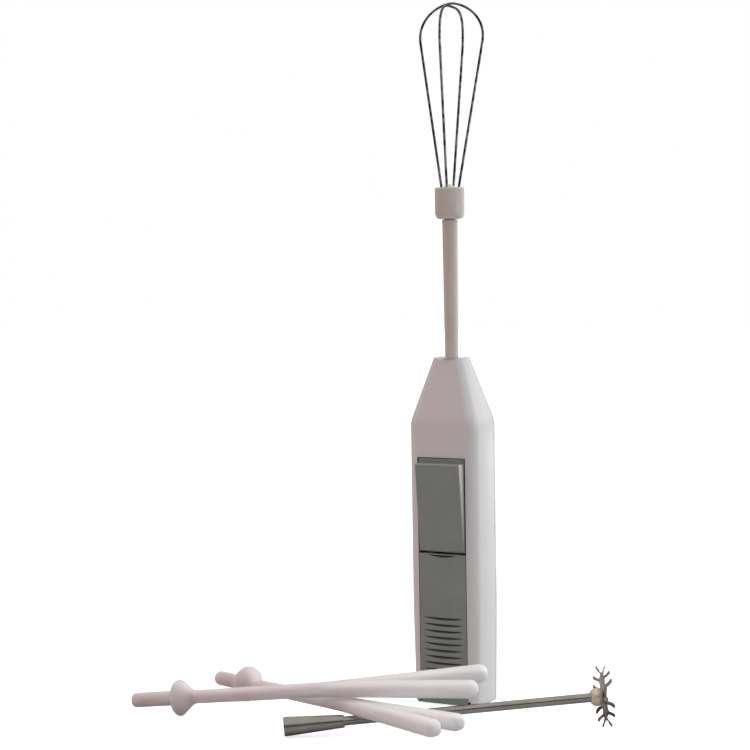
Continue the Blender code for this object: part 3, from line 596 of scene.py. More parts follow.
def disc_look():
    """Stamped sheet steel, pale grey above and dark brown-grey in its lower half."""
    look = Look("disc_steel", (0.5, 0.47, 0.45), 0.3, Metallic=0.7)
    worked = look.ranged(look.mottle(2.4, 5), 0, 1, 0.35, 0.65)
    lower_colour = look.mixed(worked, (0.10, 0.075, 0.065), (0.24, 0.20, 0.18))
    upper_colour = look.mixed(worked, (0.30, 0.28, 0.275), (0.56, 0.54, 0.54))
    look.drive("Base Color", look.mixed(look.ranged(look.height(1), 0, 1, -3, 3), lower_colour, upper_colour))
    look.sheen(0.7, 5, 0.22, 0.48)
    look.relief(look.mottle(0.3, 4), 0.015)
    return look.material


def moulded_look(name, colour, roughness):
    """Plain moulded plastic, ceramic or carbon: a fine grain and slight unevenness of tone."""
    look = Look(name, colour, roughness)
    look.tone(6, 4, shade(colour, 0.85), shade(colour, 1.12))
    look.sheen(2, 5, roughness - 0.07, roughness + 0.07)
    look.relief(look.mottle(0.4, 4), 0.015)
    return look.material


def metal_look(name, colour, roughness, stretch=(1, 1, 1), grain=0.3):
    """Plated, rolled or sintered metal with light wear."""
    look = Look(name, colour, roughness, Metallic=1.0)
    look.tone(4, 5, shade(colour, 0.8), shade(colour, 1.1))
    look.sheen(1.2, 5, roughness - 0.1, roughness + 0.12, stretch)
    look.relief(look.mottle(grain, 3, stretch), 0.008)
    return look.material


def laminated_look():
    """Stacked laminations: fine rings across the axis."""
    look = Look("laminated_iron", (0.4, 0.4, 0.42), 0.42, Metallic=1.0)
    rings = look.bands(0.63)
    look.drive("Base Color", look.mixed(rings, (0.22, 0.22, 0.24), (0.46, 0.46, 0.48)))
    look.sheen(1, 5, 0.34, 0.5)
    look.relief(rings, 0.05)
    return look.material


def winding_look():
    """Enamelled copper wire, wound turn by turn."""
    look = Look("copper", (0.72, 0.36, 0.18), 0.3, Metallic=1.0)
    turns = look.bands(1.0, 0.6)
    look.drive("Base Color", look.mixed(turns, (0.42, 0.17, 0.07), (0.8, 0.42, 0.22)))
    look.sheen(0.8, 5, 0.2, 0.42)
    look.relief(turns, 0.08)
    return look.material


def cell_look():
    """A plain cell: a dark sleeve, copper-coloured towards its upper end."""
    look = Look("cell_wrap", (0.05, 0.06, 0.08), 0.3, Coat_Weight=0.4, Coat_Roughness=0.08)
    scuffs = look.ranged(look.mottle(5, 5), 0, 1)
    sleeve = look.mixed(scuffs, (0.035, 0.04, 0.05), (0.06, 0.065, 0.08))
    band = look.ranged(look.height(), 0, 1, 37.9, 38.1)
    look.drive("Base Color", look.mixed(band, sleeve, (0.62, 0.34, 0.16)))
    look.sheen(2, 5, 0.22, 0.4)
    look.relief(look.mottle(1.5, 2), 0.008)
    return look.material


def make_looks():
    return {
        "gloss_white": gloss_white_look(),
        "satin_grey": satin_grey_look(),
        "stem_white": stem_white_look(),
        "milky_plastic": milky_look(),
        "potting": adhesive_look(),
        "whisk_wire": wire_look(),
        "bright_steel": steel_look("bright_steel", (0.44, 0.425, 0.395), (1, 1, 18)),
        "hub_steel": hub_look(),
        "disc_steel": disc_look(),
        "screw_steel": steel_look("screw_steel", (0.62, 0.62, 0.6), (1, 1, 1)),
        "moulded_black": moulded_look("moulded_black", (0.035, 0.035, 0.037), 0.5),
        "cell_wrap": cell_look(),
        "plated_contact": metal_look("plated_contact", (0.75, 0.74, 0.7), 0.3, (1, 1, 6)),
        "red_lead": moulded_look("red_lead", (0.55, 0.03, 0.02), 0.42),
        "black_lead": moulded_look("black_lead", (0.02, 0.02, 0.022), 0.42),
        "motor_steel": metal_look("motor_steel", (0.6, 0.6, 0.6), 0.34, (1, 1, 5)),
        "motor_cap": moulded_look("motor_cap", (0.72, 0.7, 0.66), 0.5),
        "bush_bronze": metal_look("bush_bronze", (0.6, 0.42, 0.2), 0.4, grain=0.15),
        "ferrite": moulded_look("ferrite", (0.08, 0.08, 0.09), 0.62),
        "carbon": moulded_look("carbon", (0.03, 0.03, 0.03), 0.55),
        "copper": winding_look(),
        "laminated_iron": laminated_look(),
        "wand_insert": moulded_look("wand_insert", (0.7, 0.67, 0.63), 0.48),
    }


# ---------------------------------------------------------------- handle

def soft_corner(x, corner, reach):
    """max(0, x - corner), with the corner rounded over +-reach."""
    if x <= corner - reach:
        return 0.0
    if x >= corner + reach:
        return x - corner
    return (x - corner + reach) ** 2 / (4 * reach)


def casing_section(z, inset):
    """The casing's outline at a height: narrower below the waist, tapering above the shoulder.

    Its two sides are crowned a little: they bulge to the full width only half way back.
    """
    part = soft_corner(z, SHOULDER_Z, SHOULDER_SOFT) / (NOSE_Z - SHOULDER_Z)
    low_part = soft_corner(-z, -WAIST_Z, WAIST_SOFT) / WAIST_Z
    half_x = HALF_X - BASE_NARROWING * low_part + part * (NOSE_HALF_X - HALF_X) - inset
    half_y = HALF_Y + part * (NOSE_HALF_Y - HALF_Y) - inset
    radius = max(CORNER + part * (NOSE_CORNER - CORNER) - inset * 1.3, 0.3)
    flat = half_y - radius
    points = rounded_section(half_x, half_y, radius, z)
    quarter = len(points) // 4
    right = [Vector((half_x, flat * y, z)) for y in (-0.6, -0.2, 0.2, 0.6)]
    left = [Vector((-point.x, -point.y, z)) for point in right]
    points = points[: 2 * quarter] + left + points[2 * quarter :] + right
    for point in points:
        share = min(abs(point.y) / flat, 1.0)
        point.x -= math.copysign(SIDE_CROWN * share**2, point.x)
    return points


def casing_outside():
    """The whole casing's outer form, with its base and nose edges rounded."""
    quarter = [math.pi / 2 * k / 4 for k in range(5)]
    levels = [(BASE_EDGE * (1 - math.cos(a)), BASE_EDGE * (1 - math.sin(a))) for a in quarter]
    heights = [20.0, 75.0, SHOULDER_Z + 9, SHOULDER_Z + 17]
    heights += [WAIST_Z + WAIST_SOFT * k / 2 for k in range(-2, 3)]
    heights += [SHOULDER_Z + SHOULDER_SOFT * (k / 4 - 1) for k in range(9)]
    levels += [(z, 0.0) for z in sorted(heights)]
    levels += [(NOSE_Z - NOSE_EDGE * (1 - math.sin(a)), NOSE_EDGE * (1 - math.cos(a))) for a in quarter]
    return rings_to_solid([casing_section(z, inset) for z, inset in levels])


def casing_inside():
    heights = (FLOOR, WAIST_Z, SHOULDER_Z - SHOULDER_SOFT, SHOULDER_Z, SHOULDER_Z + SHOULDER_SOFT)
    return rings_to_solid([casing_section(z, WALL) for z in (*heights, CAVITY_TOP_Z)])


def casing_steps():
    """The hollow, the boss and socket in the nose, and its dished top."""
    dish_r = (NOSE_DISH_HALF**2 + NOSE_DISH_DEEP**2) / (2 * NOSE_DISH_DEEP)
    lift = Matrix.Translation((0, 0, NOSE_Z - NOSE_DISH_DEEP + dish_r))
    dish = moved(rod(dish_r, -HALF_Y * 2, HALF_Y * 2, 128), lift @ Matrix.Rotation(math.pi / 2, 4, "X"))
    return [
        ("DIFFERENCE", casing_inside()),
        ("UNION", rod(BOSS_R, BOSS_Z, NOSE_Z - NOSE_EDGE, 64)),
        ("DIFFERENCE", rod(SOCKET_R, BOSS_Z - CLEAR, NOSE_Z + CLEAR, 64)),
        ("DIFFERENCE", dish),
    ]


def make_front_case(looks):
    case = new_object("case_front", casing_outside())
    wide = 2 * HALF_X
    steps = casing_steps()
    behind = block((-wide, wide), (SEAM_Y - GAP / 2, wide), (-CLEAR, REAR_TOP_Z + GAP / 2))
    steps.append(("DIFFERENCE", behind))
    recess = ((-RECESS_HALF, RECESS_HALF), (FRONT_Y - CLEAR, INNER_Y + GAP), (-CLEAR, RECESS_TOP_Z))
    steps.append(("DIFFERENCE", block(*recess)))
    slot_half = LIP_HALF + GAP
    slot_y = (FRONT_Y - CLEAR, INNER_Y + LIP_THICK + 2 * GAP)
    steps.append(("DIFFERENCE", block((-slot_half, slot_half), slot_y, (-CLEAR, FLOOR + 0.4))))
    carve(case, steps)
    round_edges(case, CASE_EDGE)
    dress(case, looks["gloss_white"], "handle", "front_housing")


def make_rear_case(looks):
    case = new_object("case_back", casing_outside())
    wide = 2 * HALF_X
    steps = casing_steps()
    keep = block((-wide, wide), (SEAM_Y + GAP / 2, wide), (-CLEAR, REAR_TOP_Z - GAP / 2))
    steps.append(("INTERSECT", keep))
    for side in (1, -1):
        boss = rod(SCREW_BOSS_R, INNER_Y - WELD, -SEAM_Y - GAP / 2, 40)
        well = rod(SCREW_HEAD_R + GAP, -2 * HALF_Y, -SCREW_SEAT_Y, 40)
        steps.append(("UNION", along_y(boss, side * SCREW_X, SCREW_Z)))
        steps.append(("DIFFERENCE", along_y(rod(BORE_R, -2 * HALF_Y, 0, 32), side * SCREW_X, SCREW_Z)))
        steps.append(("DIFFERENCE", along_y(well, side * SCREW_X, SCREW_Z)))
    carve(case, steps)
    round_edges(case, CASE_EDGE)
    dress(case, looks["gloss_white"], "handle", "rear_housing")


def lens(top_z, half, drop, grow=0.0, steps=20):
    """A groove's outline in X and Z: a straight top edge over a curved lower one."""
    half += grow
    points = [(half, top_z + grow), (-half, top_z + grow)]
    for k in range(1, steps):
        u = -1 + 2 * k / steps
        points.append((u * half, top_z - (drop + grow) * (1 - u * u)))
    return points


def scoop(top_z, half, drop, deep):
    """The cutter of one groove, with a rounded lip: from its lower edge it slopes in under the top one."""
    levels = ((FRONT_Y - 0.4, 0.25), (FRONT_Y, 0.12), (FRONT_Y + 0.12, 0.0))
    rings = []
    for y, grow in levels:
        rings.append([Vector((x, y, z)) for x, z in lens(top_z, half, drop, grow)])
    inner = lens(top_z, half - 0.6, drop * 0.3)
    rings.append([Vector((x, FRONT_Y + deep, z)) for x, z in inner])
    return rings_to_solid(rings)


def make_door(looks):
    top = DOOR_TOP_Z
    outline = softened([(DOOR_HALF, GAP), (DOOR_HALF, top, 0.4), (-DOOR_HALF, top, 0.4), (-DOOR_HALF, GAP)])
    door = new_object("door_panel", prism(outline, FRONT_Y, FRONT_Y + DOOR_THICK, "Y"))
    lip_y = (INNER_Y + GAP, INNER_Y + GAP + LIP_THICK)
    steps = [("UNION", block((-LIP_HALF, LIP_HALF), lip_y, (GAP, top - LIP_BELOW_TOP)))]
    for k in range(GROOVES):
        top_z = GROOVE_TOP_Z - k * GROOVE_PITCH
        steps.append(("DIFFERENCE", scoop(top_z, GROOVE_HALF, GROOVE_DROP, GROOVE_DEEP)))
    steps.append(("DIFFERENCE", scoop(top - NOTCH_BELOW_TOP, NOTCH_HALF, NOTCH_DROP, NOTCH_DEEP)))
    carve(door, steps)
    round_edges(door, 0.12, 2, 50)
    dress(door, looks["satin_grey"], "battery_door", "battery_door")


def make_button(looks):
    proud = BUTTON_LOW.y
    back = INNER_Y + GAP + FLANGE_THICK
    base = BUTTON_BASE_Z
    outline = softened([
        (back, base),
        (FRONT_Y + 0.6, base, 0.3),
        (FRONT_Y, base + 0.8, 1.6),
        (proud, BUTTON_TOP_Z - 0.3, 1.3),
        (proud + 1.0, BUTTON_TOP_Z, 0.6),
        (LEDGE_Y, BUTTON_TOP_Z, 0.2),
        (LEDGE_Y, RECESS_TOP_Z - GAP, 0.2),
        (back, RECESS_TOP_Z - GAP),
    ], 5)
    button = new_object("rocker", prism(outline, -BUTTON_HALF, BUTTON_HALF, "X"))
    round_edges(button, BUTTON_SIDE_EDGE, 5, 60)
    flange = block((-FLANGE_HALF, FLANGE_HALF), (INNER_Y + GAP, back), (base, BUTTON_HIGH.z))
    plunger = block(PLUNGER_X, (back - PLUNGER_SUNK, BUTTON_HIGH.y), PLUNGER_Z)
    pin = rod(PIVOT_R, BUTTON_LOW.x + SIDE_CROWN, BUTTON_HIGH.x - SIDE_CROWN, 24)
    pins = along_x(pin, PIVOT_Y, PIVOT_Z)
    carve(button, [("UNION", flange), ("UNION", pins), ("UNION", plunger)])
    dress(button, looks["satin_grey"], "button", "power_button")


# ---------------------------------------------------------------- whisk

def make_stem(looks):
    foot, top = STEM_LOW.z, STEM_HIGH.z
    low_r, top_r = STEM_R
    neck_z = COLLAR_LOW.z - GAP
    bore_top = SHAFT_TOP_Z + 0.7
    profile = softened([
        (0, bore_top), (BORE_R, bore_top, 0.3), (BORE_R, foot), (low_r - 0.5, foot, 0.3),
        (low_r - 0.1, foot + 0.6, 0.3), (low_r, NOSE_Z - 2), (top_r, STEM_TOP_Z, 0.4),
        (3.2, STEM_TOP_Z + 0.5, 0.3), (3.1, neck_z, 0.2), (SPIGOT_R, neck_z, 0.2), (SPIGOT_R, top, 0.2),
        (0, top),
    ])
    stem = new_object("stem", turned(profile, 40))
    dress(stem, looks["stem_white"], "whisk", "whisk_stem")


def make_collar(looks):
    low, high = COLLAR_LOW.z, COLLAR_HIGH.z
    hole, outer, bore = COLLAR_HOLE_R, COLLAR_R, COLLAR_BORE_R
    profile = softened([
        (hole, low + 0.2), (hole, low, 0.2), (outer - 0.9, low, 1.2), (outer, low + 1.8, 0.9),
        (outer, high, 0.45), (bore, high, 0.2), (bore, COLLAR_BORE_Z, 0.3), (hole, COLLAR_BORE_Z, 0.2),
        (hole, low + 1.0),
    ])
    collar = new_object("collar", turned(profile, 64, closed=True))
    dress(collar, looks["stem_white"], "whisk", "whisk_collar")


def make_adhesive(looks):
    """A lumpy fill of adhesive, piled up round the feet of the wires."""
    low, high = box_mm("whisk_plug")
    shoulder = high.z - PLUG_R
    rings = [circle(PLUG_R, low.z, 40), circle(PLUG_R, shoulder, 40)]
    levels = 8
    dome = 2.4
    lump_high = 0.45
    seed = Vector((3.1, 0.4, 7.7))
    for k in range(levels):
        a = math.pi / 2 * (k + 1) / (levels + 0.6)
        ring = []
        for point in circle(PLUG_R * math.cos(a), shoulder + dome * math.sin(a), 40):
            lump = noise.noise(point * 0.9 + seed) * lump_high * math.sin(a)
            swell = 1 + 0.12 * lump
            ring.append(Vector((point.x * swell, point.y * swell, point.z + lump)))
        rings.append(ring)
    plug = new_object("adhesive", rings_to_solid(rings))
    dress(plug, looks["potting"], "whisk", "whisk_plug")


def loop_path(radius, top_z, roundness, steps=48):
    """Half of a whisk loop in (distance from the axis, height): foot, straight side, arch to the top.

    The arch is a superellipse. Its roundness is given at the sides and at the top: 2 and 2 make a circle,
    less makes that end more pointed, and more makes it flatter.
    """
    side, top = roundness
    centre_z = top_z - WIRE_R - radius
    collar_z = COLLAR_HIGH.z
    reach = math.hypot(WIRE_FOOT_R, centre_z - collar_z)
    lean = math.asin(radius / reach) - math.atan2(WIRE_FOOT_R, centre_z - collar_z)
    half = [(WIRE_FOOT_R, WIRE_FOOT_Z), (WIRE_FOOT_R, collar_z - 3.0)]
    straight = (centre_z + radius * math.sin(-lean) - collar_z - 0.9) * 0.98
    half += softened([(WIRE_FOOT_R, collar_z - 1.5), (WIRE_FOOT_R, collar_z - 0.3, 1.0),
                      (WIRE_FOOT_R + 0.9 * math.tan(lean), collar_z + 0.9)], 3)
    for k in range(1, 8):
        height = straight * k / 8
        half.append((WIRE_FOOT_R + (0.9 + height) * math.tan(lean), collar_z + 0.9 + height))
    for k in range(6):
        a = lean * (k / 6 - 1)
        half.append((radius * math.cos(a), centre_z + radius * math.sin(a)))
    for k in range(steps + 1):
        a = math.pi / 2 * k / steps
        out = radius * max(math.cos(a), 0.0) ** (2 / top)
        half.append((out, centre_z + radius * math.sin(a) ** (2 / side)))
    return half


def make_whisk_loop(name, node, radius, top_z, roundness, azimuth, looks):
    half = loop_path(radius, top_z, roundness)
    outline = half + [(-x, z) for x, z in reversed(half[:-1])]
    across = Vector((math.cos(azimuth), math.sin(azimuth), 0))
    towards = math.radians(CAGE_LEAN_TOWARDS)
    lean_axis = Vector((-math.sin(towards), math.cos(towards), 0))
    foot = Matrix.Translation((0, 0, CAGE_LEAN_Z))
    lean = foot @ Matrix.Rotation(math.radians(CAGE_LEAN), 4, lean_axis) @ foot.inverted()
    points = [lean @ (across * x + Vector((0, 0, z))) for x, z in outline]
    loop = new_object(name, sweep(points, lambda k: round_section(WIRE_R, WIRE_SIDES)))
    dress(loop, looks["whisk_wire"], "whisk", node)


# ---------------------------------------------------------------- frothing wand

def lying(start, along, roll_degrees=0.0):
    """A piece's own frame: its Z runs along the given direction.

    Before the roll, its X is level and its Y points up.
    """
    ahead = along.normalized()
    level = Vector((0, 0, 1)).cross(ahead).normalized()
    above = ahead.cross(level)
    turn = Matrix((level, above, ahead)).transposed() @ Matrix.Rotation(math.radians(roll_degrees), 3, "Z")
    return Matrix.Translation(start * MM) @ turn.to_4x4()


def make_sleeve(looks, place):
    mouth_r, end_r = SLEEVE_R
    hole = ROD_R + GAP
    profile = softened([
        (SLEEVE_BORE_R, 1.0), (SLEEVE_BORE_R, 0, 0.25), (mouth_r - 0.1, 0, 0.3), (mouth_r, 1.2, 0.6),
        (end_r + 0.1, SLEEVE_LONG - 1.6, 0.6), (end_r, SLEEVE_LONG, 0.3), (hole, SLEEVE_LONG, 0.15),
        (hole, SLEEVE_BORE, 0.2), (SLEEVE_BORE_R, SLEEVE_BORE, 0.2), (SLEEVE_BORE_R, 2.0),
    ])
    sleeve = new_object("sleeve", turned(profile, 56, closed=True), place)
    dress(sleeve, looks["bright_steel"], "wand", "wand_sleeve")


def make_insert(looks, place):
    outer = SLEEVE_BORE_R - GAP
    high = SLEEVE_BORE - GAP
    profile = softened([
        (BORE_R, 2.0), (BORE_R, 1.0, 0.4), (outer, 1.0, 0.2), (outer, high, 0.2), (BORE_R, high, 0.2),
        (BORE_R, 3.0),
    ])
    insert = new_object("sleeve_insert", turned(profile, 40, closed=True), place)
    dress(insert, looks["wand_insert"], "wand", "wand_insert")


def make_wand_rod(looks, place):
    low, high = ROD_Z
    profile = softened([(0, low), (ROD_R, low, 0.3), (ROD_R, high, 0.3), (0, high)])
    bar = new_object("wand_shaft", turned(profile, 40), place)
    dress(bar, looks["bright_steel"], "wand", "wand_rod")


def make_hub(looks, place):
    low, high = HUB_Z
    hole = ROD_R + GAP
    cap = ROD_Z[1] + GAP
    profile = softened([
        (hole, low + 0.5), (hole, low, 0.1), (HUB_R - 1.3, low, 0.5), (HUB_R - 0.4, low + 0.9, 0.8),
        (HUB_R, low + 2.2, 0.9), (HUB_R - 0.3, high - 0.9, 0.7), (HUB_R - 1.0, high, 0.4),
        (0, high), (0, cap), (hole, cap, 0.2), (hole, low + 1.0),
    ])
    hub = new_object("hub", turned(profile, 48, closed=True), place)
    dress(hub, looks["hub_steel"], "wand", "wand_hub")


def make_disc(looks, place):
    disc = new_object("toothed_disc", toothed_plate(), place)
    round_edges(disc, 0.1, 2, 50)
    dress(disc, looks["disc_steel"], "wand", "wand_disc")


def toothed_plate():
    """A thin plate with forked teeth: one prong of each curls forwards, and the other backwards."""
    bm = bmesh.new()
    step = 2 * math.pi / TEETH
    layers = (DISC_Z, DISC_Z + DISC_THICK)

    def point(angle, radius, lift=0.0):
        return [bm.verts.new((radius * math.cos(angle), radius * math.sin(angle), z + lift)) for z in layers]

    def side_wall(pair, other):
        bm.faces.new((pair[0], other[0], other[1], pair[1]))

    root = (-TOOTH_ROOT, 0.0, TOOTH_ROOT)
    rim = [[point((k + part) * step, DISC_WEB_R) for part in root] for k in range(TEETH)]
    for layer in (0, 1):
        bm.faces.new([pair[layer] for tooth_rim in rim for pair in tooth_rim])
    # A neck row is (radius, half width); a prong row is (radius, far edge, near edge, share of the bend).
    # Widths and edges are in tooth pitches from the middle of the tooth.
    neck = ((DISC_WEB_R + 1.3, 0.24), (DISC_WEB_R + 2.4, 0.24))
    prong = ((DISC_R - 2.0, 0.26, 0.02, 0.5), (DISC_R - 1.0, 0.3, 0.08, 0.85), (DISC_R, 0.31, 0.12, 1.0))
    for k in range(TEETH):
        bend = TOOTH_BEND if k % 2 else -TOOTH_BEND
        side_wall(rim[k][2], rim[(k + 1) % TEETH][0])
        rows = [rim[k]]
        for radius, part in neck:
            rows.append([point((k + share) * step, radius) for share in (-part, 0.0, part)])
        for low, high in zip(rows, rows[1:]):
            for layer in (0, 1):
                for i in (0, 1):
                    bm.faces.new((low[i][layer], low[i + 1][layer], high[i + 1][layer], high[i][layer]))
            side_wall(low[0], high[0])
            side_wall(low[2], high[2])
        for side in (-1, 1):
            outer, inner = rows[-1][1 + side], rows[-1][1]
            for radius, far, near, curl in prong:
                next_outer = point((k + side * far) * step, radius, side * bend * curl)
                next_inner = point((k + side * near) * step, radius, side * bend * curl)
                for layer in (0, 1):
                    bm.faces.new((outer[layer], inner[layer], next_inner[layer], next_outer[layer]))
                side_wall(outer, next_outer)
                side_wall(inner, next_inner)
                outer, inner = next_outer, next_inner
            side_wall(outer, inner)
    return finished(bm)


def make_wand(looks):
    place = lying(WAND_MOUTH, WAND_DISC - WAND_MOUTH)
    make_sleeve(looks, place)
    make_insert(looks, place)
    make_wand_rod(looks, place)
    make_hub(looks, place)
    make_disc(looks, place)


# ---------------------------------------------------------------- mixing paddles

def prong_section(radius, part):
    """A softly squared section. Over the round tip, part runs from 0 to 1 and the section shrinks."""
    size = radius * math.sqrt(max(0.0, 1 - part**2))
    points = rounded_section(size, size * 0.97, size * 0.72, 0, 4)
    return [(point.x, point.y) for point in points]


def make_paddle(number, cone, tip, roll, looks):
    """One moulding: stem, cone, rod and two prongs, joined with the soft roots of a moulded part."""
    along = (tip - cone).normalized()
    place = lying(cone - along * CONE_Z, along, roll)
    r = PADDLE_STEM_R
    near_r, fork_r = PADDLE_ROD_R
    profile = softened([
        (0, PADDLE_BORE), (BORE_R, PADDLE_BORE, 0.3), (BORE_R, 0, 0.25), (r - 0.3, 0, 0.4), (r, 0.9, 0.5),
        (r, PADDLE_STEM, 0.5), (CONE_R - 0.3, CONE_Z - 0.6, 0.8), (CONE_R, CONE_Z, 0.35),
        (CONE_R - 0.7, CONE_Z + 0.9, 0.6), (near_r, CONE_END_Z, 1.6), (fork_r, FORK_Z + 2, 3.0),
        (fork_r * 0.7, FORK_Z + 4, 1.0), (0, FORK_Z + 5),
    ])
    paddle = new_object(f"paddle_{number}", turned(profile, 48), place)
    root_r, tip_r = PRONG_R
    root_z = FORK_Z - 2
    run = PADDLE_LONG - tip_r - root_z
    long = math.hypot(PRONG_SPREAD, run)
    ends = (0.3, 0.6, 0.9, 1.15, 1.35)
    steps = []
    for side in (1, -1):
        heights = (-1.0, 4.0, 20.0, 40.0, long)
        stations = [(z, root_r + (tip_r - root_r) * max(z, 0) / long, 0.0) for z in heights]
        stations += [(long + tip_r * math.sin(a), tip_r, math.sin(a)) for a in ends]
        points = [Vector((0, 0, z)) for z, _, _ in stations]
        prong = sweep(points, lambda k: prong_section(*stations[k][1:]), Vector((1, 0, 0)))
        lean = Matrix.Rotation(side * math.atan2(PRONG_SPREAD, run), 4, "Y")
        steps.append(("UNION", moved(prong, Matrix.Translation((0, 0, root_z)) @ lean)))
    carve(paddle, steps)
    remesh = paddle.modifiers.new("Voxels", "REMESH")
    remesh.mode = "VOXEL"
    remesh.voxel_size = PADDLE_VOXEL * MM
    remesh.use_smooth_shade = True
    apply_modifiers(paddle)
    relaxed = paddle.modifiers.new("Relaxed", "SMOOTH")
    relaxed.factor = 0.5
    relaxed.iterations = 3
    apply_modifiers(paddle)
    dress(paddle, looks["milky_plastic"], f"paddle_{number}", f"mixing_paddle_{number}", 80)


# ---------------------------------------------------------------- pieces kept from the CAD

def dress_cad_nodes(looks):
    """Materials for the CAD nodes that still show, with their sharp edges rounded a little."""
    for name, node in frame["nodes"].items():
        if node.hide_render:
            continue
        look = looks[SLOT_OF[name]]
        for slot in node.material_slots:
            slot.material = look
        if not node.material_slots:
            node.data.materials.append(look)
        bevel = node.modifiers.new("Rounded edges", "BEVEL")
        bevel.width = 0.08 * MM
        bevel.segments = 2
        bevel.limit_method = "ANGLE"
        bevel.angle_limit = math.radians(40)


# ---------------------------------------------------------------- stage

def softbox(name, place, aim, size, watts, colour=(1, 1, 1), mirrored=False):
    """A rectangular light; places and sizes are in metres."""
    data = bpy.data.lights.new(name, "AREA")
    data.shape = "RECTANGLE"
    data.size, data.size_y = size
    data.energy = watts
    data.color = colour
    made = bpy.data.objects.new(name, data)
    made.location = place
    made.rotation_euler = (Vector(aim) - Vector(place)).to_track_quat("-Z", "Y").to_euler()
    made.visible_camera = False
    made.visible_glossy = mirrored
    bpy.context.scene.collection.objects.link(made)


def make_lights():
    middle = (0, 0, 0.12)
    softbox("key_behind", (0.44, 1.08, 0.25), middle, (0.6, 0.8), 13.0, (0.95, 0.975, 1.0))
    softbox("strip_right", (1.1, 0.08, 0.3), middle, (0.2, 0.5), 2.0, mirrored=True)
    softbox("fill_left", (-0.85, -0.55, 0.32), middle, (0.5, 0.7), 1.95, (1.0, 0.41, 0.37))
    data = bpy.data.lights.new("overhead", "SUN")
    data.energy = 1.3
    data.angle = math.radians(70)
    overhead = bpy.data.objects.new("overhead", data)
    overhead.rotation_euler = (math.radians(-12), math.radians(2), 0)
    overhead.visible_glossy = False
    bpy.context.scene.collection.objects.link(overhead)


def seen_directly(nodes, links):
    """1 for what the camera sees, straight or through clear plastic, and 0 for light on the object."""
    path = nodes.new("ShaderNodeLightPath")
    made = nodes.new("ShaderNodeMath")
    made.operation = "ADD"
    made.use_clamp = True
    links.new(path.outputs["Is Camera Ray"], made.inputs[0])
    links.new(path.outputs["Is Transmission Ray"], made.inputs[1])
    return made.outputs[0]


def make_world():
    """A dim studio with a pale ceiling; the camera itself sees plain white."""
    world = bpy.data.worlds.new("studio")
    world.use_nodes = True
    nodes, links = world.node_tree.nodes, world.node_tree.links
    direction = nodes.new("ShaderNodeTexCoord")
    split = nodes.new("ShaderNodeSeparateXYZ")
    ramp = nodes.new("ShaderNodeMapRange")
    ramp.interpolation_type = "SMOOTHSTEP"
    ramp.inputs["From Min"].default_value = 0.3
    ramp.inputs["From Max"].default_value = 0.7
    ramp.inputs["To Min"].default_value = 0.09
    ramp.inputs["To Max"].default_value = 0.7
    links.new(direction.outputs["Generated"], split.inputs["Vector"])
    links.new(split.outputs["Z"], ramp.inputs["Value"])
    light = nodes["Background"]
    light.inputs["Color"].default_value = (1.0, 0.955, 0.93, 1.0)
    links.new(ramp.outputs["Result"], light.inputs["Strength"])
    seen = nodes.new("ShaderNodeBackground")
    seen.inputs["Color"].default_value = (1, 1, 1, 1)
    seen.inputs["Strength"].default_value = 1.0
    mix = nodes.new("ShaderNodeMixShader")
    links.new(seen_directly(nodes, links), mix.inputs[0])
    links.new(light.outputs[0], mix.inputs[1])
    links.new(seen.outputs[0], mix.inputs[2])
    links.new(mix.outputs[0], nodes["World Output"].inputs["Surface"])
    bpy.context.scene.world = world


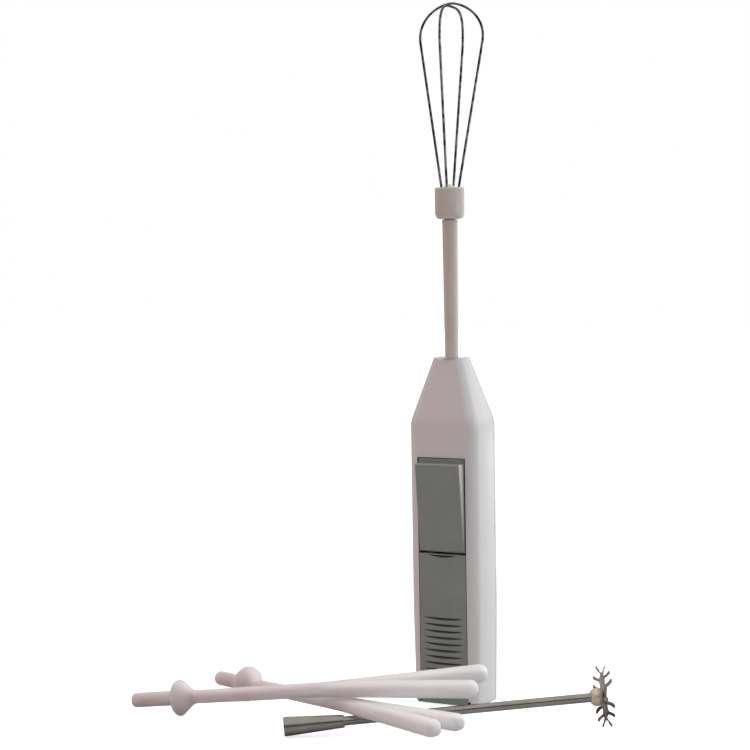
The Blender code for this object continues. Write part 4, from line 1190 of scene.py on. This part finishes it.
def make_floor():
    """A plain pale floor: it glows to the camera, and throws less light back on the object."""
    half = 4.0
    mesh = bpy.data.meshes.new("floor")
    corners = [(-half, -half, 0), (half, -half, 0), (half, half, 0), (-half, half, 0)]
    mesh.from_pydata(corners, [], [(0, 1, 2, 3)])
    floor = bpy.data.objects.new("floor", mesh)
    floor.location.z = -0.1 * MM
    bpy.context.scene.collection.objects.link(floor)
    look = bpy.data.materials.new("floor")
    look.use_nodes = True
    nodes, links = look.node_tree.nodes, look.node_tree.links
    nodes.remove(nodes["Principled BSDF"])
    mix = nodes.new("ShaderNodeMixShader")
    pale = nodes.new("ShaderNodeAddShader")
    glow = nodes.new("ShaderNodeEmission")
    glow.inputs["Strength"].default_value = 0.75
    links.new(glow.outputs[0], pale.inputs[1])
    for tone, socket in ((0.4, mix.inputs[1]), (0.6, pale.inputs[0])):
        diffuse = nodes.new("ShaderNodeBsdfDiffuse")
        diffuse.inputs["Color"].default_value = (tone, tone, tone, 1)
        links.new(diffuse.outputs[0], socket)
    links.new(pale.outputs[0], mix.inputs[2])
    links.new(seen_directly(nodes, links), mix.inputs[0])
    links.new(mix.outputs[0], nodes["Material Output"].inputs["Surface"])
    mesh.materials.append(look)


def make_camera():
    azimuth, away, height = math.radians(30.0), 0.8, 0.178
    aim_side, aim_height, roll = -0.03116, 0.13313, math.radians(-0.95)
    right = Vector((math.cos(azimuth), math.sin(azimuth), 0))
    ahead = Vector((-math.sin(azimuth), math.cos(azimuth), 0))
    data = bpy.data.cameras.new("camera")
    data.lens = 95.16
    data.sensor_width = 36.0
    camera = bpy.data.objects.new("camera", data)
    aim = right * aim_side + Vector((0, 0, aim_height))
    camera.location = right * aim_side - ahead * away + Vector((0, 0, height))
    camera.rotation_mode = "QUATERNION"
    turn = (aim - camera.location).to_track_quat("-Z", "Y")
    camera.rotation_quaternion = turn @ Matrix.Rotation(roll, 3, "Z").to_quaternion()
    bpy.context.scene.collection.objects.link(camera)
    bpy.context.scene.camera = camera
    bpy.context.scene.view_settings.view_transform = "Standard"


# ---------------------------------------------------------------- scene

def main():
    make_camera()
    looks = make_looks()
    make_front_case(looks)
    make_rear_case(looks)
    make_door(looks)
    make_button(looks)
    make_stem(looks)
    make_collar(looks)
    make_adhesive(looks)
    turn = math.radians(LOOP_TURN)
    outer = (LOOP_R, CAGE_TOP_Z, OUTER_ROUNDNESS, turn)
    make_whisk_loop("loop_outer", "whisk_loop_outer", *outer, looks)
    inner = (LOOP_R - 0.3, CAGE_TOP_Z - 2 * WIRE_R - GAP, INNER_ROUNDNESS, turn + math.pi / 2)
    make_whisk_loop("loop_inner", "whisk_loop_inner", *inner, looks)
    make_wand(looks)
    for number, cone, tip, roll in PADDLES:
        make_paddle(number, cone, tip, roll, looks)
    dress_cad_nodes(looks)
    make_lights()
    make_world()
    make_floor()


main()
